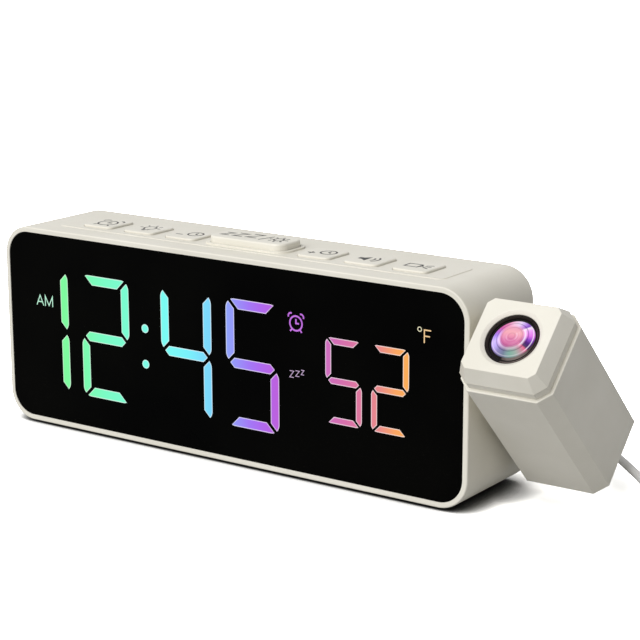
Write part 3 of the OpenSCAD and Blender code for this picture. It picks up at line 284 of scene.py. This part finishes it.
def plated(name, dark, light, low, high, grain=1.5):
    """A metal finish: its tone and its roughness, from low to high, drift together over patches of the
    given size in millimetres, as handling and the plating bath leave them."""
    material, tree, shader = surface(name, Metallic=1.0)
    place = add(tree, "TexCoord").outputs["Object"]
    drift = add(tree, "TexNoise", {"Vector": place, "Scale": 1 / (grain * MM), "Detail": 4.0}).outputs["Fac"]
    least, most = 0.3, 0.7
    tone = add(tree, "ValToRGB", {"Fac": drift}, stops=[(least, dark), (most, light)])
    dull = add(tree, "MapRange", {
        "Value": drift, "From Min": least, "From Max": most, "To Min": low, "To Max": high,
    })
    tree.links.new(tone.outputs["Color"], shader.inputs["Base Color"])
    tree.links.new(dull.outputs["Result"], shader.inputs["Roughness"])
    return material


# Pan-head screws in bright zinc-plated steel.
zinc_steel = plated("zinc_plated_steel", "#B4B7B9", "#D2D5D6", low=0.24, high=0.38)
dress(zinc_steel, "cover_screws", "door_screw")

# ---- Display ----
# A cast acrylic sheet, tinted nearly black and let into the rim, is stuck to a ledge with a frame of tape.
# Behind it stand the light guides of the segments, the white light box and the LED board.

# The sheet's hard gloss is coated against reflections, so the room shows in it only at a glancing view.
black_acrylic = moulded(
    "black_acrylic", "#020202", "#050504", grain=60, relief=0.02, patch=40, Roughness=0.08,
    Specular_IOR_Level=0.015,
)
dress(black_acrylic, "display_lens", "dark_segments")
# The tape is a closed-cell foam, whose cut cells leave it matt.
foam_tape = moulded("foam_tape", "#17171A", "#222226", grain=0.3, relief=0.03, patch=2, Roughness=0.9)
dress(foam_tape, "lens_tape")

# Where the light guides' colours change along the display, from the case's middle in millimetres
RAINBOW = [
    (-72, "#80FD9A"), (-62, "#7CFEA8"), (-50, "#7AFFC8"), (-38, "#7AFFD6"), (-32, "#7CFFE8"),
    (-22, "#7AFEF8"), (-13, "#78F4FF"), (-8, "#7CE2FF"), (-1, "#7CD2FF"), (3, "#90A6FE"), (12, "#A478FA"),
    (17, "#B068F2"), (23, "#BE60E2"), (41, "#CE6CC6"), (50, "#DA70AC"), (57, "#E47A9C"), (63, "#EE8E8A"),
    (69, "#FFA860"), (74, "#FFB054"),
]


# What is left of a lit window's own colour in the room's light
UNLIT = "#060606"


def guide_glow(name, pale):
    """Clear polycarbonate with the LEDs' light in it: the colour runs along the display, and gives way to
    white by the given share."""
    material, tree, shader = surface(name, Roughness=0.3, Specular_IOR_Level=0.1, Emission_Strength=0.96)
    place = add(tree, "TexCoord").outputs["Object"]
    along = add(tree, "SeparateXYZ", {"Vector": place}).outputs["X"]
    middle, first, last = CASE_ORIGIN[0], RAINBOW[0][0], RAINBOW[-1][0]
    ends = {"From Min": (middle + first) * MM, "From Max": (middle + last) * MM}
    share = add(tree, "MapRange", {"Value": along, **ends}).outputs["Result"]
    stops = [((x - first) / (last - first), code) for x, code in RAINBOW]
    hue = add(tree, "ValToRGB", {"Fac": share}, stops=stops)
    tone = add(tree, "MixRGB", {"Fac": pale, "Color1": hue.outputs["Color"], "Color2": linear("#FFFFFF")})
    tree.links.new(tone.outputs["Color"], shader.inputs["Emission Color"])
    shader.inputs["Base Color"].default_value = linear(UNLIT)
    return material


# The guides are lit all over, and palest along their edges, where their polished sides throw the light
# forward.
GUIDE_EDGE = 0.28
FACES_FRONT = -0.99
lit_guides = softened("lit_segments", "lit_guides", 0)
dress(guide_glow("lit_polycarbonate", 0.0), lit_guides)
lit_guides.data.materials.append(guide_glow("lit_edge", 0.55))
shape = bmesh.new()
shape.from_mesh(lit_guides.data)
fronts = [face for face in shape.faces if face.normal.y < FACES_FRONT]
for face in bmesh.ops.inset_individual(shape, faces=fronts, thickness=GUIDE_EDGE * MM)["faces"]:
    face.material_index = 1
shape.to_mesh(lit_guides.data)
shape.free()

# The light box is moulded ABS, filled with white pigment so that it scatters the light evenly.
white_abs = moulded("white_abs", "#EDEDE9", "#F6F6F3", grain=0.8, relief=0.02, Roughness=0.6)
dress(white_abs, "light_box")
# The boards are glass-fibre laminate under a green solder mask, with copper tracks that show through it as
# slightly raised, lighter lines.
solder_mask, tree, shader = surface("solder_mask", Roughness=0.35)
place = add(tree, "TexCoord").outputs["Object"]
TRACK_PITCH = 2.5
tracks = add(tree, "TexBrick", {
    "Vector": place, "Scale": 1 / (TRACK_PITCH * MM), "Mortar Size": 0.06, "Mortar Smooth": 0.1,
    "Brick Width": 3.0, "Color1": linear("#14573A"), "Color2": linear("#185F40"), "Mortar": linear("#2C7A56"),
})
raised = add(tree, "Bump", {"Height": tracks.outputs["Fac"], "Distance": 0.04 * MM, "Strength": 0.6})
tree.links.new(tracks.outputs["Color"], shader.inputs["Base Color"])
tree.links.new(raised.outputs["Normal"], shader.inputs["Normal"])
dress(solder_mask, "led_board")
dress(zinc_steel, "display_screws")
# Each LED is a block of yellow phosphor in silicone.
phosphor = moulded(
    "phosphor_silicone", "#E9DFAE", "#F3EBC6", grain=0.2, relief=0.01, patch=0.8, Roughness=0.5,
)
dress(phosphor, "segment_leds")


def arc(x, y, r, start, stop, steps=20):
    """Points on a circle about x, y, from one angle to the other in degrees."""
    angle = np.radians(np.linspace(start, stop, steps + 1))
    return np.stack([x + r * np.cos(angle), y + r * np.sin(angle)], axis=1)


def ribbon(line, width):
    """Points and faces of a flat stroke along a line. Each point of the line gives one on its left and one
    on its right, half the width along the mitre: the sum of the two runs' normals over 1 + their dot."""
    p = np.array(line, float)
    run = np.diff(p, axis=0)
    run /= np.linalg.norm(run, axis=1)[:, None]
    closed = np.allclose(p[0], p[-1])
    before = np.vstack([run[-1:] if closed else run[:1], run])
    after = np.vstack([run, run[:1] if closed else run[-1:]])
    left_before, left_after = (np.stack([-v[:, 1], v[:, 0]], axis=1) for v in (before, after))
    mitre = (left_before + left_after) / (1 + (left_before * left_after).sum(axis=1))[:, None]
    n = len(p)
    points = np.vstack([p + mitre * width / 2, p - mitre * width / 2])
    return points, [(n + i, n + i + 1, i + 1, i) for i in range(n - 1)]


def sign(name, material, strokes, width, corner, across, up, body="clock", solid=()):
    """A flat sign of strokes and of solid outlines, in millimetres, laid in the plane that two unit vectors
    span at a corner: corner + x * across + y * up."""
    shapes = [ribbon(line, width) for line in strokes]
    shapes += [(np.array(outline, float), [tuple(range(len(outline)))]) for outline in solid]
    points, faces = [], []
    for flat, loops in shapes:
        start = sum(len(group) for group in points)
        faces += [[start + i for i in loop] for loop in loops]
        points.append(flat)
    flat = np.vstack(points)
    spots = np.array(corner) + flat[:, :1] * np.array(across) + flat[:, 1:] * np.array(up)
    piece = new_piece(name, spots * MM, faces, body, smooth=False)
    dress(material, piece)
    return piece


def lit_film(name, dark, light):
    """Light from an LED through a coloured film, a little uneven over some millimetres."""
    material, tree, shader = surface(name, Roughness=0.4, Specular_IOR_Level=0.1, Emission_Strength=1.0)
    place = add(tree, "TexCoord").outputs["Object"]
    drift = add(tree, "TexNoise", {"Vector": place, "Scale": 1 / (3 * MM)})
    tone = add(tree, "ValToRGB", {"Fac": drift.outputs["Fac"]}, stops=[(0.3, dark), (0.7, light)])
    tree.links.new(tone.outputs["Color"], shader.inputs["Emission Color"])
    shader.inputs["Base Color"].default_value = linear(UNLIT)
    return material


# The small lit signs are windows in the tint, each with a film of its own colour: morning, alarm set, snooze,
# and degrees with their unit. Places are from the case's middle and from the table.
SIGN_GAP = 0.02
lens_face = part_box("display_lens")[0].y / MM - SIGN_GAP
ON_DISPLAY = dict(corner=(CASE_ORIGIN[0], lens_face, 0), across=(1, 0, 0), up=(0, 0, 1))


def letter_a(x, z, w, h):
    bar = z + h * 0.35
    return [[(x, z), (x + w / 2, z + h), (x + w, z)], [(x + w * 0.2, bar), (x + w * 0.8, bar)]]


def letter_m(x, z, w, h):
    return [[(x, z), (x, z + h), (x + w / 2, z + h * 0.1), (x + w, z + h), (x + w, z)]]


def letter_z(x, z, w, h):
    return [[(x, z + h), (x + w, z + h), (x, z), (x + w, z)]]


sign("morning_sign", lit_film("mint_film", "#B4F2D0", "#C8FAE0"),
     letter_a(-81, 43.4, 3.2, 3.6) + letter_m(-77, 43.4, 3.4, 3.6), 0.36, **ON_DISPLAY)


def alarm_clock(x, y, r):
    """A round clock with two bells on top, its hands, and two feet."""
    bells = [
        arc(x + side * r * 0.82, y + r * 0.92, r * 0.42, 90 - side * 110, 90 + side * 20, 10)
        for side in (-1, 1)
    ]
    feet = [[(x + side * r * 0.62, y - r * 0.8), (x + side * r * 0.95, y - r * 1.15)] for side in (-1, 1)]
    hands = [[(x, y + r * 0.6), (x, y), (x + r * 0.5, y)]]
    return [arc(x, y, r, 0, 360)] + bells + feet + hands


sign("alarm_sign", lit_film("magenta_film", "#B868D8", "#CC78E8"),
     alarm_clock(30.95, 52.0, 2.4), 0.55, **ON_DISPLAY)
sign("snooze_sign", lit_film("lilac_film", "#B8A0C4", "#C8B0D0"),
     letter_z(28.4, 34, 1.6, 2.1) + letter_z(30.7, 34.6, 1.5, 1.8) + letter_z(32.9, 35.4, 1.1, 1.5), 0.24,
     **ON_DISPLAY)
sign("degree_sign", lit_film("pale_film", "#D6D2B0", "#E2DCBC"),
     [arc(77.3, 56.6, 0.68, 0, 360)], 0.3, **ON_DISPLAY)
sign("unit_sign", lit_film("amber_film", "#F0C892", "#F8D4A0"),
     [[(79, 52.5), (79, 56.6), (81.4, 56.6)], [(79, 54.7), (81, 54.7)]], 0.4, **ON_DISPLAY)

# ---- Keys ----
# The snooze bar and the six keys are moulded in the same cream ABS as the case, and stand on the dome
# switches of a narrow board under the top. Their signs are pad-printed in dark grey ink.

key_abs = moulded("key_abs", "#E2DED1", "#E8E4D8", grain=0.6, relief=0.01, patch=20, Roughness=0.42, IOR=1.54)
ink = moulded("pad_print_ink", "#0E0D0C", "#1A1917", grain=0.25, relief=0.004, patch=1.5, Roughness=0.6)
INK_T = 0.01
INK_W = 0.62


def keyed(node, strokes, solid=(), width=INK_W):
    """A key and its printed sign, whose strokes are laid from the key's middle."""
    cap = softened(node, node + "_cap", 0, body=node)
    dress(key_abs, cap)
    low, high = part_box(node)
    corner = ((low.x + high.x) / 2 / MM, (low.y + high.y) / 2 / MM, high.z / MM + INK_T)
    sign(node + "_print", ink, strokes, width, corner, (1, 0, 0), (0, 1, 0), body=node, solid=solid)


def rays(x, y, near, far, count):
    """Short strokes round a point."""
    turns = np.radians(np.arange(count) * 360 / count + 90)
    return [[(x + near * math.cos(a), y + near * math.sin(a)), (x + far * math.cos(a), y + far * math.sin(a))]
            for a in turns]


def sun_mark(x, y, r):
    return [arc(x, y, r * 0.48, 0, 360)] + rays(x, y, r * 0.68, r, 8)


keyed("alarm_key", alarm_clock(0, -0.3, 3.5))
# A bulb with its cap, between the rays above it
glass_line = arc(0, 0.8, 2.2, -60, 240)
keyed("light_key", [
    np.vstack([glass_line, [(-1.1, -2.4), (1.1, -2.4)], glass_line[:1]]), [(-0.7, -3.3), (0.7, -3.3)],
    *(ray for ray in rays(0, 0.8, 3.1, 4.4, 8) if ray[1][1] > -2),
])
# A small clock face with the sign that lowers or raises what it shows
SET_MARK = [arc(1.6, 0.9, 2.7, 0, 360), [(1.6, 2.6), (1.6, 0.9), (2.8, 0.2)]]
keyed("minus_key", SET_MARK + [[(-4.9, -1.7), (-2, -1.7)]])
keyed("plus_key", SET_MARK + [[(-4.9, -1.7), (-2, -1.7)], [(-3.45, -0.25), (-3.45, -3.15)]])
SPEAKER = [(-4.3, -1), (-2.8, -1), (-0.7, -2.7), (-0.7, 2.7), (-2.8, 1), (-4.3, 1)]
keyed("volume_key", [arc(-0.7, 0, r, -48, 48) for r in (2.2, 3.8)], solid=[SPEAKER])
# A projector with its lens and the light that leaves it
keyed("projector_key", [
    [(-4.4, -1.9), (0.3, -1.9), (0.3, 1.9), (-4.4, 1.9), (-4.4, -1.9)], arc(0.3, 0, 1, -90, 90, 10),
    [(2.2, 0), (4.5, 0)], [(2.1, 1.1), (4.3, 2.3)], [(2.1, -1.1), (4.3, -2.3)],
])
# Three sleep signs, a stroke and a sun, as the bar also sets the brightness
keyed("snooze_bar", [
    *letter_z(-12.4, -2.4, 3.2, 3.8), *letter_z(-7.8, -2, 3.7, 4.4), *letter_z(-2.6, -1.6, 4.2, 5),
    [(3.4, -3), (5.6, 3.4)], *sun_mark(9.6, 0.2, 3.7),
], width=0.7)

# The key board, its switches in black nylon, and the screws that hold it
dress(solder_mask, "key_board")
dress(zinc_steel, "key_board_screws")
black_nylon = moulded("black_nylon", "#1B1C1F", "#25262A", grain=0.5, relief=0.02, patch=2, Roughness=0.55)
dress(black_nylon, "tact_switches")

# ---- Rear and boards ----
# The rear cover carries the main board, the power inlet and the charging port on it, the speaker, and the
# coin cell between its contacts under the battery lid.

dress(solder_mask, "main_board")
dress(zinc_steel, "board_screws")
# Chips are moulded in black epoxy filled with silica, with a fine matt grain.
chip_epoxy = moulded("chip_epoxy", "#18191B", "#212225", grain=0.15, relief=0.01, patch=1, Roughness=0.7)
dress(chip_epoxy, "board_parts")
# The inlet is moulded in black PBT, which is a little duller than the case.
black_pbt = moulded("black_pbt", "#151517", "#1E1E21", grain=0.5, relief=0.015, patch=3, Roughness=0.5)
dress(black_pbt, "power_inlet")
# The port's shell, the far plug's and the cell's can are drawn steel under bright nickel.
nickel = plated("nickel_plate", "#C2C1BC", "#D9D8D2", low=0.16, high=0.28, grain=3)
dress(nickel, "charging_port", "usb_shell", "coin_cell")
# The cell's contacts are stamped from bronze strip and flashed with gold over nickel.
gold_flash = plated("gold_flash", "#C9A650", "#E0C478", low=0.2, high=0.32, grain=2)
dress(gold_flash, "cell_contacts")
# The speaker has a pressed paper cone, dyed black, whose fibres lie all ways.
cone_paper = moulded(
    "speaker_paper", "#1A1A1C", "#2B2B2E", grain=0.35, relief=0.06, patch=0.8, Roughness=0.95,
)
dress(cone_paper, "speaker")

# ---- Projector ----
# A square tube of the same ABS turns on a hollow shaft. A flared cap is pressed into its mouth and holds the
# focus ring, and the lamp, its lenses and the image plate stand in a black barrel inside.

HEAD_EDGE, HOOD_EDGE, COLLAR_EDGE = 0.15, 0.12, 0.08
projector_shell = softened("projector_housing", "projector_shell", HEAD_EDGE, body="projector")
lens_hood = softened("projector_cap", "lens_hood", HOOD_EDGE, body="projector")
for piece in (projector_shell, lens_hood):
    dress(key_abs, piece)
# The shaft, washer and clip are turned and stamped steel, plated like the screws.
turned_steel = plated("turned_steel", "#A9ABAD", "#C6C8CA", low=0.28, high=0.42, grain=1)
dress(turned_steel, "pivot_shaft", "wave_washer", "retaining_ring")
dress(zinc_steel, "hub_screws", "barrel_screws")
# The lamp's wires are sheathed in red PVC, extruded smooth.
red_pvc = moulded("red_pvc", "#8E1D20", "#A5272A", grain=0.8, relief=0.02, patch=4, Roughness=0.45)
dress(red_pvc, "projector_wires")
dress(solder_mask, "lamp_board")
dress(phosphor, "projector_led")

# The cell and the barrel are moulded in black polycarbonate, which comes out of the mould satin.
black_pc = moulded(
    "black_polycarbonate", "#080605", "#120F0D", grain=0.4, relief=0.008, patch=3, Roughness=0.34,
    Specular_IOR_Level=0.1,
)
dress(black_pc, "lens_cell", "lens_barrel")
focus_collar = softened("focus_ring", "focus_collar", COLLAR_EDGE, body="focus_ring")


def optical_glass(name, tint):
    """Crown glass, ground and polished clear, with a faint tint that drifts over some millimetres."""
    material, tree, shader = surface(name, Roughness=0.02, IOR=1.52, Transmission_Weight=1.0)
    place = add(tree, "TexCoord").outputs["Object"]
    drift = add(tree, "TexNoise", {"Vector": place, "Scale": 1 / (8 * MM)})
    tone = add(tree, "ValToRGB", {"Fac": drift.outputs["Fac"]}, stops=[(0.3, tint), (0.7, "#FFFFFF")])
    tree.links.new(tone.outputs["Color"], shader.inputs["Base Color"])
    return material


dress(optical_glass("crown_glass", "#EAF4F6"), "condenser_lens", "image_plate")

projection_lens = nodes["projection_lens"]
glass_low, glass_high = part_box("projection_lens")
GLASS_R = (glass_high.x - glass_low.x) / 2
TILT = 45


def polar(tree, shift=(0, 0), full_r=GLASS_R):
    """Where a point lies about the lens axis, or about a line shifted from it by some millimetres to its
    right and up: its X, Y, Z there, its distance as a share of a full radius, and its turn as a share of a
    whole one, from 180 degrees."""
    place = add(tree, "TexCoord").outputs["Object"]
    leaning = Matrix.Rotation(math.radians(TILT), 3, "X")
    middle = (glass_low + glass_high) / 2 + leaning @ Vector((*shift, 0)) * MM
    here = {"Vector": place, "Location": middle, "Rotation": (math.radians(TILT), 0, 0)}
    turned = add(tree, "Mapping", here, vector_type="TEXTURE").outputs["Vector"]
    own = add(tree, "SeparateXYZ", {"Vector": turned}).outputs
    off_axis = add(tree, "CombineXYZ", {"X": own["X"], "Y": own["Y"]}).outputs["Vector"]
    radius = add(tree, "VectorMath", {0: off_axis}, operation="LENGTH").outputs["Value"]
    reach = add(tree, "Math", {0: radius, 1: full_r}, operation="DIVIDE").outputs[0]
    turn = add(tree, "Math", {0: own["Y"], 1: own["X"]}, operation="ARCTAN2").outputs[0]
    share = add(tree, "MapRange", {"Value": turn, "From Min": -math.pi, "From Max": math.pi})
    return own, reach, share.outputs["Result"]


# The focus ring is satin black and turned with fine steps round its bore. Its lower wall is painted
# grey-brown, a painted light as if from above.
ring_satin, tree, shader = surface("ring_satin", Roughness=0.34, Specular_IOR_Level=0.08)
own, reach, round_share = polar(tree)
# The ring's outer radius in the lens's radii, and the painted light and shade on its wall, in turns from 180
# degrees
RING_REACH = 1.25
ring_share = add(tree, "Math", {0: reach, 1: RING_REACH}, operation="DIVIDE").outputs[0]
RING_PAINTED_LIGHT = [
    (0.0, "#2A2320"), (0.17, "#1A1412"), (0.225, "#0A0808"), (0.24, "#5A504C"), (0.34, "#6A5E59"),
    (0.42, "#4A3E3A"), (0.5, "#33211F"), (0.7, "#1C1614"), (0.95, "#2A2320"),
]
# The wall's painted light and shade, by its turn round the axis
painted_wall_light = add(tree, "ValToRGB", {"Fac": round_share}, stops=RING_PAINTED_LIGHT).outputs["Color"]
steps = add(tree, "ValToRGB", {"Fac": ring_share}, stops=[
    (0.79, "#909090"), (0.81, "#000000"), (0.86, "#303030"), (0.872, "#B0B0B0"), (0.885, "#000000"),
    (0.94, "#303030"), (0.965, "#D0D0D0"),
]).outputs["Color"]
lined = add(tree, "MixRGB", {"Fac": steps, "Color1": painted_wall_light, "Color2": linear("#050404")})
tree.links.new(lined.outputs["Color"], shader.inputs["Base Color"])
dress(ring_satin, focus_collar)

# The front lens is coated glass over a lit image, and its look is painted so that it looks solid. The coat's
# reflections are painted in violet, magenta and green sectors round the axis. The edges of the elements
# behind it are painted as thin pale highlight rings and dark shade rings, and the painted lit image glows
# faintly. The painted reflections sit a little above the axis, and below them the barrel is painted on the
# glass in the ring's painted light and shade.
SEEN_SHIFT, SEEN_SHARE = (-0.35, 0.8), 1.0
# Where the coat's painted reflection colours change, in turns from 180 degrees, counted round the lens axis
PAINTED_COAT_REFLECTIONS = [
    (0.0, "#A482EC"), (0.06, "#C9B4FA"), (0.11, "#B7A4EA"), (0.17, "#8379AE"), (0.23, "#69768C"),
    (0.29, "#6B9A8B"), (0.34, "#8C9C94"), (0.38, "#B0838F"), (0.415, "#D65A85"), (0.43, "#30134A"),
    (0.47, "#4E1E7A"), (0.5, "#8A42C0"), (0.54, "#DC72E4"), (0.6, "#E9A2F2"), (0.63, "#F4E2FA"),
    (0.645, "#7C40BC"), (0.68, "#B487E6"), (0.73, "#E6D4F6"), (0.79, "#F0C4DE"), (0.85, "#E387B4"),
    (0.91, "#D264AA"), (0.96, "#B46CD2"), (1.0, "#A482EC"),
]
# How far the painted reflection gives way to the painted glow of the lit image, from the axis to the edge
PAINTED_REFLECTION_SHARE = [(0.0, "#000000"), (0.48, "#303030"), (0.56, "#C0C0C0"), (0.72, "#FFFFFF"), (1.0, "#FFFFFF")]
# Where the glass gives way to the barrel's painted light and shade, as shares of the radius
GLASS_EDGE = (0.98, 1.01)
# The painted glow of the lit image, up the lens
PAINTED_IMAGE_GLOW = [(0.2, "#B4548A"), (0.4, "#CC6E9C"), (0.5, "#DE8CA6"), (0.6, "#E6A2AC"), (0.8, "#DA92B2")]
# Painted dark shade rings and painted pale highlight rings, as their strength from the axis to the edge, and
# how strong the highlights are round it
PAINTED_SHADE_RINGS = [
    (0.11, "#000000"), (0.15, "#707070"), (0.19, "#000000"), (0.44, "#000000"), (0.47, "#909090"),
    (0.5, "#000000"), (0.68, "#000000"), (0.715, "#D0D0D0"), (0.75, "#000000"), (0.94, "#000000"),
    (1.0, "#C0C0C0"),
]
PAINTED_HIGHLIGHT_RINGS = [
    (0.2, "#000000"), (0.24, "#B0B0B0"), (0.29, "#000000"), (0.36, "#707070"), (0.4, "#000000"),
    (0.54, "#000000"), (0.58, "#E8E8E8"), (0.62, "#D0D0D0"), (0.67, "#000000"), (0.89, "#000000"),
    (0.925, "#FFFFFF"), (0.95, "#000000"),
]
PAINTED_HIGHLIGHT_SHARE = [
    (0.0, "#B0B0B0"), (0.08, "#D8D8D8"), (0.2, "#A0A0A0"), (0.38, "#909090"), (0.43, "#F0F0F0"),
    (0.62, "#FFFFFF"), (0.66, "#505050"), (0.85, "#282828"), (0.94, "#606060"), (1.0, "#B0B0B0"),
]
coated_glass, tree, shader = surface(
    "coated_glass", Roughness=0.06, Specular_IOR_Level=0.12, Emission_Strength=0.1,
)
from_axis, reach, round_share = polar(tree, SEEN_SHIFT, SEEN_SHARE * GLASS_R)
height = {"Value": from_axis["Y"], "From Min": -GLASS_R, "From Max": GLASS_R}
up_share = add(tree, "MapRange", height).outputs["Result"]
# Painted reflections, the painted glow of the lit image, painted shade rings and painted highlight rings
painted_reflection = add(tree, "ValToRGB", {"Fac": round_share}, stops=PAINTED_COAT_REFLECTIONS).outputs["Color"]
image = add(tree, "ValToRGB", {"Fac": up_share}, stops=PAINTED_IMAGE_GLOW).outputs["Color"]
share = add(tree, "ValToRGB", {"Fac": reach}, stops=PAINTED_REFLECTION_SHARE).outputs["Color"]
painted_shade_rings = add(tree, "ValToRGB", {"Fac": reach}, stops=PAINTED_SHADE_RINGS).outputs["Color"]
painted_highlight_rings = add(tree, "ValToRGB", {"Fac": reach}, stops=PAINTED_HIGHLIGHT_RINGS).outputs["Color"]
painted_highlight_share = add(tree, "ValToRGB", {"Fac": round_share}, stops=PAINTED_HIGHLIGHT_SHARE).outputs["Color"]
pale = add(tree, "Math", {0: painted_highlight_rings, 1: painted_highlight_share}, operation="MULTIPLY").outputs[0]
lit = add(tree, "MixRGB", {"Fac": share, "Color1": image, "Color2": painted_reflection}).outputs["Color"]
lined = add(tree, "MixRGB", {"Fac": painted_shade_rings, "Color1": lit, "Color2": linear("#3A1850")}).outputs["Color"]
glass_tone = add(tree, "MixRGB", {"Fac": pale, "Color1": lined, "Color2": linear("#F6E6FA")}).outputs["Color"]
# The barrel's painted light and shade, painted on the glass's rim
barrel = add(tree, "ValToRGB", {"Fac": round_share}, stops=RING_PAINTED_LIGHT).outputs["Color"]
glass_ends, barrel_starts = GLASS_EDGE
edge = {"Value": reach, "From Min": glass_ends, "From Max": barrel_starts}
outside = add(tree, "MapRange", edge).outputs["Result"]
tone = add(tree, "MixRGB", {"Fac": outside, "Color1": glass_tone, "Color2": barrel}).outputs["Color"]
tree.links.new(tone, shader.inputs["Base Color"])
# The painted tone also glows faintly, though the lens is no lamp
tree.links.new(tone, shader.inputs["Emission Color"])
dress(coated_glass, projection_lens)

# ---- Table and studio ----
# The clock stands on a white laminate table in a white room. One large softbox lights it from above and
# from the front, and the room's walls throw a weak even light back from all sides.


def seen_ray(tree):
    """1 where the camera, a reflection or a view through glass sees the surface, and 0 for its light."""
    ray = add(tree, "LightPath")
    seen = ray.outputs["Is Camera Ray"]
    for kind in ("Is Glossy Ray", "Is Transmission Ray"):
        seen = add(tree, "Math", {0: seen, 1: ray.outputs[kind]}, operation="MAXIMUM").outputs[0]
    return seen


AMBIENT = 0.315
world = bpy.data.worlds.new("studio")
bpy.context.scene.world = world
world.use_nodes = True
backdrop = world.node_tree.nodes["Background"]
backdrop.inputs["Color"].default_value = linear("#FFFFFF")
tree = world.node_tree
level = add(tree, "MapRange", {"Value": seen_ray(tree), "To Min": AMBIENT, "To Max": 1.0})
tree.links.new(level.outputs["Result"], backdrop.inputs["Strength"])

SOFTBOX_FROM = (-0.15, -0.73, 0.66)
SOFTBOX_LEVEL, SOFTBOX_ANGLE = 0.8, 50
softbox = bpy.data.objects.new("softbox", bpy.data.lights.new("softbox", "SUN"))
softbox.data.energy = SOFTBOX_LEVEL * math.pi
softbox.data.angle = math.radians(SOFTBOX_ANGLE)
softbox.rotation_euler = Vector(SOFTBOX_FROM).to_track_quat("Z", "Y").to_euler()
bpy.context.scene.collection.objects.link(softbox)

# The table's laminate is a plain grey in the light that it throws back, white in reflections, and to the
# camera so white that the wide soft shadow is lost in it. A dark contact shadow is painted into its colour
# for the camera, from how closely the clock's parts close in round each point.
FLOOR_HALF = 4.0
FLOOR_Z = -0.0001
FLOOR_GREY, FLOOR_WHITE, FLOOR_SEEN = 0.47, 0.9, 6.0
SHADOW_PAINT_REACH, SHADOW_PAINT_FALL = 12, 3.0
ends = (-FLOOR_HALF, FLOOR_HALF)
floor_mesh = bpy.data.meshes.new("table_top")
floor_mesh.from_pydata([(x, y, FLOOR_Z) for y in ends for x in ends], [], [(0, 1, 3, 2)])
table_top = bpy.data.objects.new("table_top", floor_mesh)
bpy.context.scene.collection.objects.link(table_top)
laminate, tree, shader = surface("white_laminate", Roughness=0.7, Specular_IOR_Level=0.1)
reflected = add(tree, "MapRange", {"Value": seen_ray(tree), "To Min": FLOOR_GREY, "To Max": FLOOR_WHITE})
to_camera = add(tree, "LightPath").outputs["Is Camera Ray"]
# Painted contact shadow: the floor's colour darkens where the clock's parts close in round it
painted_shadow_ao = add(tree, "AmbientOcclusion", {"Distance": SHADOW_PAINT_REACH * MM}).outputs["AO"]
contact = add(tree, "Math", {0: painted_shadow_ao, 1: SHADOW_PAINT_FALL}, operation="POWER").outputs[0]
bright = add(tree, "Math", {0: contact, 1: FLOOR_SEEN}, operation="MULTIPLY").outputs[0]
white = add(tree, "MapRange", {"Value": to_camera, "To Min": reflected.outputs["Result"], "To Max": bright})
tree.links.new(white.outputs["Result"], shader.inputs["Base Color"])
floor_mesh.materials.append(laminate)

bpy.context.scene.view_settings.view_transform = "Standard"
